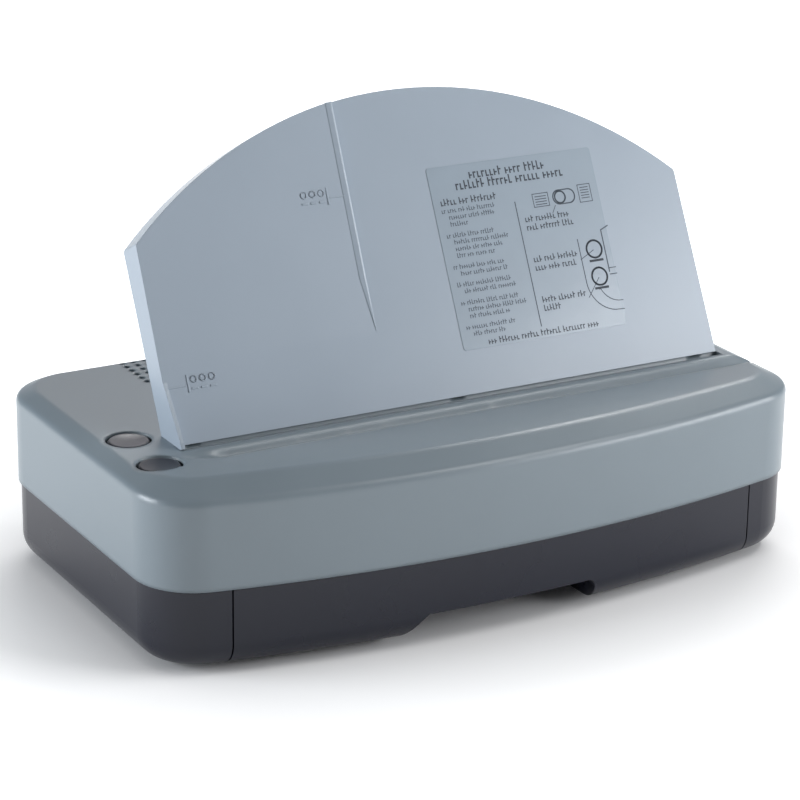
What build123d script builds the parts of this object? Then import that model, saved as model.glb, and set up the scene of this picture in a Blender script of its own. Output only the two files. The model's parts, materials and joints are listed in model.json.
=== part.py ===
"""Electric desk hole punch for sheets of letter paper.

X runs along the machine, -Y is the front, +Z is up, in millimetres. The origin is on the table under
the middle of the machine. A sheet stands on its long edge against the leaning guide and goes down
through a slot into the throat. A motor turns a screw, the screw draws a cam bar along the machine, and
slanted slots in the bar push four punch pins forward through the sheet. The chips fall into a drawer.
"""
import os
from math import atan, atan2, cos, degrees, pi, radians, sin, sqrt, tan

from build123d import *

os.makedirs("parts", exist_ok=True)

# ---------------------------------------------------------------- driving dimensions
WIDTH = 328.5          # over the cover's side walls
DEPTH = 192.5          # front of the bow to the back
BOW = 20.2             # how far the front bows out past its corners
CORNER_R = 28.8        # plan radius of the four corners
FOOT_H = 2.5           # rubber feet hold the base this far off the table
BASE_TOP = 39.0        # top edge of the base and of the drawer
SEAM = 39.6            # bottom edge of the cover
PLATEAU_Z = 83.3       # flat top behind the slot
HUMP_Z = 85.6          # rounded front of the cover
WALL = 2.5             # moulded wall
LEAN = 26.5            # the guide leans back from the vertical, degrees
FACE_Y = -24.1         # foot of the guide's face on the flat top

BASE_INSET = 1.25      # base wall stands back from the cover's
BASE_ROUND = 11.6      # rounding along the bottom of the base
GROOVE_Y = -36.0       # groove between the slot strip and the hump
GROOVE_Z = 78.8
GROOVE_LEFT = -134.0   # it fades out here, beside the front button
GROOVE_FULL = -112.0   # and is full depth from here
EDGE_Z = 79.6          # the cover's wall ends here, and its top edge slopes inwards
EDGE_SLOPE = 24.0      # slope of that band, degrees
EDGE_ROUND = 3.5       # rounding between the wall and the band
CREST_ROUND = 6.0      # rounding between the band and the top

GUIDE_LEFT = -130.4    # left and right edges of the guide
GUIDE_RIGHT = 151.4
GUIDE_SIDE = 88.8      # height of the sides up the slope
GUIDE_TOP = 143.2      # height of the arch up the slope
GUIDE_DEPTH = 13.2     # flange round the back
FENCE = 1.8            # fence thickness: three-hole sheets touch its inner side

PAPER_EDGE = GUIDE_LEFT + FENCE
HOLES = (PAPER_EDGE + 31.75, PAPER_EDGE + 139.7, PAPER_EDGE + 247.65)
HOLE_PAIR = 69.85      # spacing of the two-hole setting, which shares the last pin
TWO_HOLE_EDGE = HOLES[2] - 142.9
PINS = (HOLES[0], HOLES[1], HOLES[2] - HOLE_PAIR, HOLES[2])
HOLE_S = -24.0         # hole centres, measured down the slope from the top of the cover
STOP_S = HOLE_S - 11.5  # the sheet's edge rests here
THROAT_BACK = -1.4     # the throat, measured forward from the guide's face
THROAT_FRONT = 4.2
PIN_D = 7.0
STROKE = 9.0           # travel of the pins
CAM_TRAVEL = 12.0      # travel of the cam bar

BUTTONS = ((-145.5, -39.8), (-144.8, -6.7))
BUTTON_D = 18.6
BUTTON_HOLE_D = 20.4
DRAWER_HALF = 131.7    # half width of the drawer's front

FRONT_Y = -DEPTH / 2
BACK_Y = DEPTH / 2
HALF = WIDTH / 2

# The sheet's own frame: x along the machine, s up the slope, w forward out of the guide's face.
PAPER = Plane(
    origin=(0, FACE_Y, PLATEAU_Z),
    x_dir=(1, 0, 0),
    z_dir=(0, -cos(radians(LEAN)), sin(radians(LEAN))),
)


def at(s, w):
    """World y and z of a point s up the slope and w forward of the guide's face."""
    lean = radians(LEAN)
    return (FACE_Y + s * sin(lean) - w * cos(lean), PLATEAU_Z + s * cos(lean) + w * sin(lean))


def along_x(x, y, z):
    """A plane whose normal runs along the machine: sketch x is world Y, sketch y is world Z."""
    return Plane(origin=(x, y, z), x_dir=(0, 1, 0), z_dir=(1, 0, 0))


def finish(piece, name):
    """Label a finished piece and write it under its own name."""
    piece.part.label = name
    export_step(piece.part, f"parts/{name}.step")


def slab(x0, x1, y0, y1, z0, z1, mode=Mode.ADD):
    """A box given by its two corners."""
    with Locations(((x0 + x1) / 2, (y0 + y1) / 2, (z0 + z1) / 2)):
        Box(x1 - x0, y1 - y0, z1 - z0, mode=mode)


def lean_block(x0, x1, s0, s1, w0, w1, mode=Mode.ADD):
    """A box in the sheet's frame."""
    with Locations(PAPER.location * Location(((x0 + x1) / 2, (s0 + s1) / 2, (w0 + w1) / 2))):
        Box(x1 - x0, s1 - s0, w1 - w0, mode=mode)


def lean_rod(x, s, w0, w1, radius, mode=Mode.ADD):
    """A round bar that points forward, square to the sheet."""
    with Locations(PAPER.location * Location((x, s, (w0 + w1) / 2))):
        Cylinder(radius, w1 - w0, mode=mode)


def rod_x(x0, x1, axis, radius, mode=Mode.ADD):
    """A round bar along the machine, round an axis given by its y and z."""
    with Locations(Location(((x0 + x1) / 2, *axis), (0, 90, 0))):
        Cylinder(radius, x1 - x0, mode=mode)


def rod_z(places, z0, z1, radius, mode=Mode.ADD):
    """Upright round bars at several places."""
    with Locations(*[(x, y, (z0 + z1) / 2) for x, y in places]):
        Cylinder(radius, z1 - z0, mode=mode)


def across(s):
    """A plane square to the slope: sketch x runs along the machine, sketch y goes back from the face."""
    lean = radians(LEAN)
    return Plane(origin=(0, *at(s, 0)), x_dir=(1, 0, 0), z_dir=(0, sin(lean), cos(lean)))


def body_outline(inset):
    """Plan of the machine: straight sides and back, a bowed front and four round corners."""
    with BuildSketch() as plan:
        with BuildLine():
            ThreePointArc((-HALF, FRONT_Y + BOW), (0, FRONT_Y), (HALF, FRONT_Y + BOW))
            Polyline((HALF, FRONT_Y + BOW), (HALF, BACK_Y), (-HALF, BACK_Y), (-HALF, FRONT_Y + BOW))
        make_face()
        fillet(plan.vertices(), CORNER_R)
        if inset:
            offset(amount=-inset, kind=Kind.INTERSECTION)
    return plan.sketch


def polygon(*points):
    """A closed outline through its corners."""
    with BuildSketch() as outline:
        with BuildLine():
            Polyline(*points, close=True)
        make_face()
    return outline.sketch


def top_profile(drop):
    """Side view of the cover: the flat top at the back and the hump at the front."""
    with BuildSketch() as side:
        with BuildLine():
            Polyline((FRONT_Y - 10, HUMP_Z - drop), (FRONT_Y - 10, 0), (BACK_Y + 10, 0))
            Polyline((BACK_Y + 10, 0), (BACK_Y + 10, PLATEAU_Z - drop), (-30, PLATEAU_Z - drop))
            Spline(
                (-30, PLATEAU_Z - drop), (-62, HUMP_Z - drop - 0.2), (FRONT_Y - 10, HUMP_Z - drop),
                tangents=((-1, 0), (-1, 0)),
            )
        make_face()
    return side.sketch


def compression_spring(radius, wire, height, turns):
    """A compression spring standing on the origin."""
    with BuildPart() as spring:
        with BuildLine():
            coil = Helix(pitch=height / turns, height=height, radius=radius)
        with BuildSketch(Plane(origin=coil @ 0, z_dir=coil % 0)):
            Circle(wire / 2)
        sweep(path=coil)
    return spring.part


def gear_outline(teeth, module, backlash, turn):
    """Involute outline. The flank's angle at radius r is inv(20 deg) - inv(acos(base / r))."""
    pitch = teeth * module / 2
    base = pitch * cos(radians(20))
    root = pitch - 1.25 * module
    tip = pitch + module
    half = pi / 2 / teeth - backlash / 4 / pitch + tan(radians(20)) - radians(20)

    def flank(r):
        t = sqrt(max((r / base) ** 2 - 1, 0))
        return half - (t - atan(t))

    def point(r, angle):
        return (r * cos(angle), r * sin(angle))

    low = max(base, root + 0.01)
    edge = flank(low)
    radii = (low, low + (tip - low) * 0.4, tip)
    step = 2 * pi / teeth
    with BuildSketch() as gear:
        with BuildLine():
            for k in range(teeth):
                middle = turn + k * step
                Line(point(root, middle - edge), point(low, middle - edge))
                Spline([point(r, middle - flank(r)) for r in radii])
                ThreePointArc(
                    point(tip, middle - flank(tip)), point(tip, middle), point(tip, middle + flank(tip))
                )
                Spline([point(r, middle + flank(r)) for r in reversed(radii)])
                Line(point(low, middle + edge), point(root, middle + edge))
                ThreePointArc(
                    point(root, middle + edge),
                    point(root, middle + step / 2),
                    point(root, middle + step - edge),
                )
        make_face()
    return gear.sketch


# ---------------------------------------------------------------- top cover
BOSSES = ((-148, 72), (148, 72), (-148, -66), (148, -66))
BOSS_SPLIT_Z = 45.0
BOSS_TOP_Z = 81.6      # inside the skin, also under the sloping band
SLOT_LIP = 2.0         # lips under the slot lead the sheet into the throat
LIP_END_S = -9.2
STRIP_LEFT = -133.0    # both end here, clear of the front button
VENT_PITCH = 5.6
VENT_D = 3.0
VENTS = [(-105.4 + VENT_PITCH * i, 59.1 + VENT_PITCH * j) for i in range(12) for j in range(6)]
TABS = (-124.0, 7.8, 137.0)
SELECTOR_AT = (112.0, 62.0)
SELECTOR_TRAVEL = 14.0
RAILS_FRONT = ((92.0, 100.0), (126.0, 140.0))  # rails under the top carry the selector's plate
RAIL_BACK = (92.0, 140.0)
CARRIER_POSTS = ((-138, -23), (-153, -23), (-145, 7), (-145, -54.5))


def cover_body(inset, low, edge):
    """Block with the plan of the cover: an upright wall, a sloping band and the top's side view."""
    with BuildPart() as body:
        with BuildSketch(Plane.XY.offset(low)):
            add(body_outline(inset))
        extrude(amount=edge - low)
        with BuildSketch(Plane.XY.offset(edge)):
            add(body_outline(inset))
        extrude(amount=HUMP_Z - EDGE_Z + 1, taper=90 - EDGE_SLOPE)
        with BuildSketch(along_x(0, 0, 0)):
            add(top_profile(inset))
        extrude(amount=HALF + 10, both=True, mode=Mode.INTERSECT)
    return body.part


with BuildPart() as cover_outside:
    add(cover_body(0, SEAM, EDGE_Z))
    above_wall = cover_outside.edges().filter_by(lambda edge: edge.center().Z > EDGE_Z + 1)
    fillet(above_wall, CREST_ROUND)
    fillet(cover_outside.edges().filter_by(lambda edge: abs(edge.center().Z - EDGE_Z) < 0.1), EDGE_ROUND)

with BuildPart() as cover_inside:
    add(cover_body(WALL, SEAM - 1, EDGE_Z - 1.5))


def groove_section(x, depth):
    """Side view of the groove at x; depth 1 is the full groove and depth 0 clears the surface."""
    full = ((-31.0, 83.3), (-33.6, 81.9), (GROOVE_Y, GROOVE_Z), (-38.8, 80.4), (-44.2, 82.6), (-54.0, 85.0))
    clear = (83.4, 83.5, 83.7, 83.9, 84.4, 85.2)
    ring = [(y, depth * z + (1 - depth) * c) for (y, z), c in zip(full, clear)]
    with BuildSketch(along_x(x, 0, 0)) as section:
        with BuildLine():
            Spline(*ring, tangents=((-1, 0), (-1, 0.1)))
            Polyline(ring[-1], (-54.0, 90.0), (-31.0, 90.0), ring[0])
        make_face()
    return section.sketch


with BuildPart() as groove:
    # open at the right-hand end of the machine, and fading out beside the front button
    add(groove_section(GROOVE_FULL, 1))
    extrude(amount=HALF + 5 - GROOVE_FULL, dir=(1, 0, 0))
    add(groove_section(GROOVE_LEFT, 0))
    add(groove_section(GROOVE_FULL, 1))
    loft()

with BuildPart() as top_cover:
    add(cover_outside.part)
    add(cover_inside.part, mode=Mode.SUBTRACT)
    # the strip in front of the slot is thick, so that the groove can be sunk into it
    with BuildSketch(along_x(STRIP_LEFT, 0, 0)):
        add(polygon(
            at(-3.7, THROAT_FRONT), at(LIP_END_S, THROAT_FRONT), at(LIP_END_S, THROAT_FRONT + SLOT_LIP),
            (-38.5, 76.0), (-44.0, 79.0), (-47.0, 82.0), (-40.0, 82.0),
        ))
        add(polygon(
            at(-1.0, THROAT_BACK), at(LIP_END_S, THROAT_BACK), at(LIP_END_S, THROAT_BACK - SLOT_LIP),
            at(-1.0, THROAT_BACK - SLOT_LIP),
        ))
    strip = extrude(amount=HALF - WALL / 2 - STRIP_LEFT, mode=Mode.PRIVATE)
    add(strip & cover_outside.part)
    # the slot itself
    with BuildSketch(along_x(GUIDE_LEFT, 0, 0)):
        add(polygon(at(6, THROAT_BACK), at(-15, THROAT_BACK), at(-15, THROAT_FRONT), at(6, THROAT_FRONT)))
    extrude(amount=GUIDE_RIGHT - GUIDE_LEFT, mode=Mode.SUBTRACT)
    add(groove.part, mode=Mode.SUBTRACT)
    # screw bosses
    with BuildSketch(Plane.XY.offset(BOSS_SPLIT_Z)):
        with Locations(*BOSSES):
            Circle(4.5)
            Circle(1.5, mode=Mode.SUBTRACT)
    extrude(amount=BOSS_TOP_Z - BOSS_SPLIT_Z)
    # vent grid behind the guide, over the motor
    with BuildSketch(Plane.XY.offset(PLATEAU_Z + 1)):
        with Locations(*VENTS):
            Circle(VENT_D / 2)
    extrude(amount=-WALL - 2, mode=Mode.SUBTRACT)
    # button holes with a bevelled rim
    with BuildSketch(Plane.XY.offset(PLATEAU_Z + 5)):
        with Locations(*BUTTONS):
            Circle(BUTTON_HOLE_D / 2)
    extrude(amount=-WALL - 7, mode=Mode.SUBTRACT)
    with Locations(*[(x, y, PLATEAU_Z) for x, y in BUTTONS]):
        Cone(BUTTON_HOLE_D / 2 - 1, BUTTON_HOLE_D / 2 + 1, 2, mode=Mode.SUBTRACT)
    # windows for the guide's tabs, and the slot of the selector
    for x in TABS:
        slab(x - 1.6, x + 5.5, FACE_Y + 1.4, FACE_Y + 4.6, PLATEAU_Z - 8, PLATEAU_Z + 1, Mode.SUBTRACT)
    with BuildSketch(Plane.XY.offset(PLATEAU_Z + 1)):
        with Locations(SELECTOR_AT):
            SlotOverall(SELECTOR_TRAVEL + 6.4, 6.4)
    extrude(amount=-WALL - 2, mode=Mode.SUBTRACT)
    for x0, x1 in RAILS_FRONT:
        slab(x0, x1, 50, 51.7, 76, PLATEAU_Z - 1)
        slab(x0, x1, 50, 54, 76, 77.5)
    slab(*RAIL_BACK, 70.3, 72, 76, PLATEAU_Z - 1)
    slab(*RAIL_BACK, 68, 72, 76, 77.5)
    # pins that hold the button carrier
    with BuildSketch(Plane.XY.offset(PLATEAU_Z - 1)):
        with Locations(*CARRIER_POSTS):
            Circle(0.95)
    extrude(amount=-9)
finish(top_cover, "top_cover")

# ---------------------------------------------------------------- base
FLOOR_TOP = FOOT_H + WALL
DRAWER_BACK = -33.0
BAY_GAP = 0.7          # seam on each side of the drawer's front
BAY_DEPTH = 44.0       # the drawer takes this much of the base's floor
STAND_Z = 9.0          # bosses carry the steel frame at this height
FRAME_LEFT = -118.0
FRAME_RIGHT = 148.5
SHEET = 2.5            # steel sheet of the side plates and brackets
FEET = ((-128, 78), (128, 78), (-142, -50), (142, -50))
FRAME_SCREWS = ((-109, -18), (-109, 19), (139.5, -18), (139.5, 19))
MOTOR_SCREWS = ((-103, 37), (-103, 65))
JACK_AT = (-100.0, 22.0)  # x and z of the power inlet in the back wall
JACK_D = 10.0

with BuildPart() as base_outside:
    with BuildSketch(Plane.XY.offset(FOOT_H)):
        add(body_outline(BASE_INSET))
    extrude(amount=BASE_TOP - FOOT_H)
    fillet(base_outside.faces().sort_by(Axis.Z)[0].edges(), BASE_ROUND)

with BuildPart() as base_inside:
    with BuildSketch(Plane.XY.offset(FLOOR_TOP)):
        add(body_outline(BASE_INSET + WALL))
    extrude(amount=BASE_TOP)
    fillet(base_inside.faces().sort_by(Axis.Z)[0].edges(), BASE_ROUND - WALL)

with BuildPart() as base_housing:
    add(base_outside.part)
    add(base_inside.part, mode=Mode.SUBTRACT)
    # bay of the drawer, with a partition on each side and an open front
    bay = DRAWER_HALF + BAY_GAP
    slab(-bay, bay, FRONT_Y - 5, FRONT_Y + BAY_DEPTH, 0, BASE_TOP + 5, Mode.SUBTRACT)
    for side in (-1, 1):
        with BuildSketch(Plane.XY.offset(FLOOR_TOP - 0.5)):
            add(polygon(
                (side * bay, FRONT_Y + 18), (side * bay, DRAWER_BACK), (side * (bay + 2.5), DRAWER_BACK),
                (side * (bay + 2.5), FRONT_Y + 17),
            ))
        partition = extrude(amount=BASE_TOP - FLOOR_TOP + 0.5, mode=Mode.PRIVATE)
        add(partition & base_outside.part)
    # close the cut ends of the corner pieces down to their rounded edge
    with BuildSketch(along_x(-bay - 2.5, 0, 0)):
        add(polygon((FRONT_Y, 0), (FRONT_Y + 22, 0), (FRONT_Y + 22, BASE_TOP), (FRONT_Y, BASE_TOP)))
    ends = extrude(amount=2.5, mode=Mode.PRIVATE)
    add(ends & base_outside.part)
    add(mirror(ends, about=Plane.YZ, mode=Mode.PRIVATE) & base_outside.part)
    # bosses for the frame, the motor bracket and the cover
    with BuildSketch(Plane.XY.offset(FLOOR_TOP - 0.5)):
        with Locations(*FRAME_SCREWS, *MOTOR_SCREWS):
            Circle(4.5)
    extrude(amount=STAND_Z - FLOOR_TOP + 0.5)
    with BuildSketch(Plane.XY.offset(FLOOR_TOP - 0.5)):
        with Locations(*BOSSES):
            Circle(4.5)
    extrude(amount=BOSS_SPLIT_Z - FLOOR_TOP + 0.5)
    with BuildSketch(Plane.XY.offset(FOOT_H - 1)):
        with Locations(*BOSSES):
            Circle(1.7)
    extrude(amount=BOSS_SPLIT_Z, mode=Mode.SUBTRACT)
    with BuildSketch(Plane.XY.offset(FOOT_H - 1)):
        with Locations(*BOSSES):
            Circle(3.2)
    extrude(amount=1 + 5.0, mode=Mode.SUBTRACT)
    with BuildSketch(Plane.XY.offset(FLOOR_TOP - 0.5)):
        with Locations(*FRAME_SCREWS, *MOTOR_SCREWS):
            Circle(1.5)
    extrude(amount=STAND_Z, mode=Mode.SUBTRACT)
    # sockets for the feet
    with BuildSketch(Plane.XY.offset(FOOT_H - 1)):
        with Locations(*FEET):
            Circle(6.5)
    extrude(amount=1 + 1.0, mode=Mode.SUBTRACT)
    # hole for the power inlet
    with BuildSketch(Plane(origin=(JACK_AT[0], BACK_Y + 1, JACK_AT[1]), z_dir=(0, -1, 0))):
        Circle(JACK_D / 2)
    extrude(amount=WALL + 4, mode=Mode.SUBTRACT)
finish(base_housing, "base_housing")

with BuildPart() as rubber_feet:
    with BuildSketch():
        with Locations(*FEET):
            Circle(6.5)
    extrude(amount=FOOT_H + 1.0)
    chamfer(rubber_feet.edges().group_by(Axis.Z)[0], 0.8)
finish(rubber_feet, "rubber_feet")

# ---------------------------------------------------------------- chip drawer
RECESS_Z = 14.5        # top of the finger recess
RECESS = (-43.5, 43.0)  # its ends along the machine; the left one runs out in a sweep
RECESS_SWEEP = 15.0
RECESS_DEPTH = 40.0
TRAY_HALF = 128.5
TRAY_H = 34.0

with BuildPart() as drawer_space:
    # what the drawer may fill: the machine's outside, within the bay
    add(base_outside.part)
    slab(-DRAWER_HALF, DRAWER_HALF, FRONT_Y - 5, DRAWER_BACK, 0, BASE_TOP + 5, Mode.INTERSECT)

with BuildPart() as drawer_front:
    add(drawer_space.part)
    slab(-HALF, HALF, FRONT_Y - 5, FRONT_Y + BAY_DEPTH - 0.3, 0, BASE_TOP + 5, Mode.INTERSECT)
    add(base_inside.part, mode=Mode.SUBTRACT)

with BuildPart() as chip_drawer:
    # tray behind the front, a little above the floor
    slab(-TRAY_HALF, TRAY_HALF, FRONT_Y, DRAWER_BACK, FLOOR_TOP + 0.4, TRAY_H)
    slab(-TRAY_HALF, TRAY_HALF, FRONT_Y, FRONT_Y + BAY_DEPTH - 0.3, FLOOR_TOP - 0.5, FLOOR_TOP + 1)
    slab(
        -TRAY_HALF + 1.8, TRAY_HALF - 1.8, FRONT_Y - 1, DRAWER_BACK - 1.8, FLOOR_TOP + 2.2, TRAY_H + 1,
        Mode.SUBTRACT,
    )
    add(drawer_space.part, mode=Mode.INTERSECT)
    add(drawer_front.part)
    # finger recess, closed off from the tray by its own wall
    with BuildSketch(Plane.XZ.offset(-FRONT_Y)):
        add(polygon(
            (RECESS[0] - RECESS_SWEEP - 2, 0), (RECESS[0] - RECESS_SWEEP - 2, RECESS_Z + 2),
            (RECESS[1] + 2, RECESS_Z + 2), (RECESS[1] + 2, 0),
        ))
    wall = extrude(amount=-RECESS_DEPTH - 2, mode=Mode.PRIVATE)
    add(wall & base_outside.part)
    with BuildSketch(Plane.XZ.offset(-FRONT_Y)):
        with BuildLine():
            foot = (RECESS[0] - RECESS_SWEEP, 0)
            corner = (RECESS[0], RECESS_Z)
            Line((RECESS[1], 0), foot)
            Spline(foot, (RECESS[0] - RECESS_SWEEP / 2, RECESS_Z / 2), corner, tangents=((1, 0.6), (1, 0.7)))
            Line(corner, (RECESS[1] - 6, RECESS_Z))
            Spline((RECESS[1] - 6, RECESS_Z), (RECESS[1] - 1, 8), (RECESS[1], 0), tangents=((1, 0), (0, -1)))
        make_face()
    extrude(amount=-RECESS_DEPTH, mode=Mode.SUBTRACT)
finish(chip_drawer, "chip_drawer")

# ---------------------------------------------------------------- paper guide
STEP_H = 3.4           # height of the two-hole step at the top of the guide
STEP_FOOT = 35.0       # the step starts this far up the slope
FENCE_H = 5.3          # the fence stands out this far at its foot
FENCE_TOP = 28.0
LABEL = (17.8, 106.0, 19.9, 105.0)  # x and s of the label's edges


def guide_outline(inset):
    """Face of the guide: upright sides under a wide arch."""
    left = GUIDE_LEFT + inset
    right = GUIDE_RIGHT - inset
    with BuildSketch() as face:
        with BuildLine():
            Polyline((left, GUIDE_SIDE), (left, -20), (right, -20), (right - 1.4, GUIDE_SIDE))
            ThreePointArc(
                (right - 1.4, GUIDE_SIDE), ((left + right) / 2, GUIDE_TOP - inset), (left, GUIDE_SIDE)
            )
        make_face()
        fillet(face.vertices().sort_by(Axis.Y)[2:4], 2.5)
    return face.sketch


with BuildPart() as guide_outside:
    with BuildSketch(PAPER.offset(-GUIDE_DEPTH)):
        add(guide_outline(0))
    extrude(amount=GUIDE_DEPTH + STEP_H)

with BuildPart() as paper_guide:
    with BuildSketch(PAPER.offset(-GUIDE_DEPTH)):
        add(guide_outline(0))
    extrude(amount=GUIDE_DEPTH)
    # raised left part: a wedge whose edge is the fence for two-hole sheets
    with BuildSketch(along_x(GUIDE_LEFT, 0, 0)):
        add(polygon(at(STEP_FOOT, -1), at(STEP_FOOT, 0), at(GUIDE_TOP, STEP_H), at(GUIDE_TOP, -1)))
    wedge = extrude(amount=TWO_HOLE_EDGE - GUIDE_LEFT, mode=Mode.PRIVATE)
    add(wedge & guide_outside.part)
    # fence for three-hole sheets
    with BuildSketch(along_x(GUIDE_LEFT, 0, 0)):
        add(polygon(at(-2, -1), at(-2, FENCE_H), at(1, FENCE_H), at(FENCE_TOP, 0), at(FENCE_TOP, -1)))
    extrude(amount=FENCE)
    # hollow back
    with BuildSketch(PAPER.offset(-GUIDE_DEPTH - 1)):
        add(guide_outline(WALL))
    extrude(amount=GUIDE_DEPTH + 1 - WALL, mode=Mode.SUBTRACT)
    # foot that stands on the cover
    with BuildSketch(along_x(GUIDE_LEFT + 1, 0, 0)):
        add(polygon(at(-2, -1), at(5.5, -1), at(8.5, -GUIDE_DEPTH), at(-10, -GUIDE_DEPTH)))
    extrude(amount=GUIDE_RIGHT - GUIDE_LEFT - 2)
    slab(GUIDE_LEFT - 5, GUIDE_RIGHT + 5, -60, 60, 0, PLATEAU_Z, Mode.SUBTRACT)
    # three tabs that snap into the cover
    for x in TABS:
        slab(x - 1.5, x + 1.5, FACE_Y + 1.5, FACE_Y + 3.0, PLATEAU_Z - 6, PLATEAU_Z + 1)
        slab(x - 1.5, x + 1.5, FACE_Y + 3.0, FACE_Y + 4.4, PLATEAU_Z - 6, PLATEAU_Z - 3.5)
finish(paper_guide, "paper_guide")

with BuildPart() as instruction_label:
    with BuildSketch(PAPER):
        with Locations(((LABEL[0] + LABEL[1]) / 2, (LABEL[2] + LABEL[3]) / 2)):
            RectangleRounded(LABEL[1] - LABEL[0], LABEL[3] - LABEL[2], 1.5)
    extrude(amount=0.2)
finish(instruction_label, "instruction_label")

# ---------------------------------------------------------------- buttons and control board
BUTTON_TOP = PLATEAU_Z - 0.2
PRESS = 2.0            # travel of a button
CARRIER_Z = 76.0
CARRIER = (-157.0, -134.0, -58.0, 11.0)
STEM_D = 6.0
BOARD_Z = 62.0
BOARD_T = 1.6
SWITCH_Z = (BOARD_Z + BOARD_T, BOARD_Z + BOARD_T + 3.5)
SWITCH_TOP = SWITCH_Z[1] + 0.6
STEM_END = SWITCH_TOP + PRESS + 0.1
RING_Z = STEM_END + 0.4  # retaining ring, just under the carrier's tube
RING_T = 0.8
RING_SEAT_R = STEM_D / 2 - 0.6
CAP_WALL = 1.5
CAP_TOP_T = 1.8
SPRING_MEAN_D = 12.0
SPRING_WIRE = 0.8
SPRING_TURNS = 4
BOARD_POSTS = CARRIER_POSTS[:2]


def push_button(x, y):
    """Cap with a skirt over its spring, and a stem down to the switch."""
    with BuildPart() as button:
        with BuildSketch(Plane.XY.offset(BUTTON_TOP)):
            with Locations((x, y)):
                Circle(BUTTON_D / 2)
        extrude(amount=-4.2)
        fillet(button.edges().group_by(Axis.Z)[-1], 0.7)
        with BuildSketch(Plane.XY.offset(BUTTON_TOP - CAP_TOP_T)):
            with Locations((x, y)):
                Circle(BUTTON_D / 2 - CAP_WALL)
        extrude(amount=-3, mode=Mode.SUBTRACT)
        with BuildSketch(Plane.XY.offset(BUTTON_TOP - 1)):
            with Locations((x, y)):
                Circle(STEM_D / 2)
        extrude(amount=STEM_END - BUTTON_TOP + 1)
        # groove for the retaining ring
        with BuildSketch(Plane.XY.offset(RING_Z)):
            with Locations((x, y)):
                Circle(STEM_D / 2 + 1)
                Circle(RING_SEAT_R, mode=Mode.SUBTRACT)
        extrude(amount=RING_T, mode=Mode.SUBTRACT)
    return button.part


def retaining_ring(x, y):
    """Split ring in the stem's groove."""
    with BuildPart() as ring:
        with BuildSketch(Plane.XY.offset(RING_Z)):
            with Locations((x, y)):
                Circle(4.6)
                Circle(RING_SEAT_R, mode=Mode.SUBTRACT)
            with Locations((x + 4, y)):
                Rectangle(5, 3.6, mode=Mode.SUBTRACT)
        extrude(amount=RING_T)
    return ring.part


with BuildPart() as start_button:
    add(push_button(*BUTTONS[0]))
finish(start_button, "start_button")

with BuildPart() as reverse_button:
    add(push_button(*BUTTONS[1]))
finish(reverse_button, "reverse_button")

with BuildPart() as start_ring:
    add(retaining_ring(*BUTTONS[0]))
finish(start_ring, "start_ring")

with BuildPart() as reverse_ring:
    add(retaining_ring(*BUTTONS[1]))
finish(reverse_ring, "reverse_ring")

def button_spring(x, y):
    """Spring between the carrier and the underside of a button."""
    height = BUTTON_TOP - CAP_TOP_T - CARRIER_Z - SPRING_WIRE
    return Pos(x, y, CARRIER_Z + SPRING_WIRE / 2) * compression_spring(
        SPRING_MEAN_D / 2, SPRING_WIRE, height, SPRING_TURNS
    )


with BuildPart() as start_spring:
    add(button_spring(*BUTTONS[0]))
finish(start_spring, "start_spring")

with BuildPart() as reverse_spring:
    add(button_spring(*BUTTONS[1]))
finish(reverse_spring, "reverse_spring")

with BuildPart() as button_carrier:
    slab(*CARRIER, CARRIER_Z - 2, CARRIER_Z)
    with BuildSketch(Plane.XY.offset(CARRIER_Z - 4.8)):
        with Locations(*BUTTONS):
            Circle(4.5)
    extrude(amount=6.4)
    # posts up to the cover and down to the board
    with BuildSketch(Plane.XY.offset(CARRIER_Z)):
        with Locations(*CARRIER_POSTS):
            Circle(3.0)
    extrude(amount=PLATEAU_Z - WALL - CARRIER_Z)
    with BuildSketch(Plane.XY.offset(BOARD_Z + BOARD_T)):
        with Locations(*BOARD_POSTS):
            Circle(3.0)
    extrude(amount=CARRIER_Z - 2 - BOARD_Z - BOARD_T)
    with BuildSketch(Plane.XY.offset(BOARD_Z)):
        with Locations(*BUTTONS):
            Circle(STEM_D / 2 + 0.05)
    extrude(amount=20, mode=Mode.SUBTRACT)
    with BuildSketch(Plane.XY.offset(BOARD_Z)):
        with Locations(*CARRIER_POSTS):
            Circle(1.0)
    extrude(amount=20, mode=Mode.SUBTRACT)
finish(button_carrier, "button_carrier")

with BuildPart() as control_board:
    slab(*CARRIER, BOARD_Z, BOARD_Z + BOARD_T)
    with BuildSketch(Plane.XY.offset(BOARD_Z - 1)):
        with Locations(*BOARD_POSTS):
            Circle(1.0)
    extrude(amount=4, mode=Mode.SUBTRACT)
    # relay, controller and capacitors on the underside
    slab(-156, -146, -56, -36, BOARD_Z - 10, BOARD_Z)
    slab(-142, -136, -50, -42, BOARD_Z - 2, BOARD_Z)
    with BuildSketch(Plane.XY.offset(BOARD_Z)):
        with Locations((-150, -12), (-140, -8)):
            Circle(4.0)
    extrude(amount=-12)
finish(control_board, "control_board")

with BuildPart() as button_switches:
    for x, y in BUTTONS:
        slab(x - 3, x + 3, y - 3, y + 3, *SWITCH_Z)
        rod_z([(x, y)], SWITCH_Z[1], SWITCH_TOP, 1.75)
finish(button_switches, "button_switches")

with BuildPart() as board_screws:
    with BuildSketch(Plane.XY.offset(BOARD_Z - 1.6)):
        with Locations(*BOARD_POSTS):
            Circle(2.2)
    extrude(amount=1.6)
    with BuildSketch(Plane.XY.offset(BOARD_Z)):
        with Locations(*BOARD_POSTS):
            Circle(1.0)
    extrude(amount=8)
finish(board_screws, "board_screws")

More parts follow.
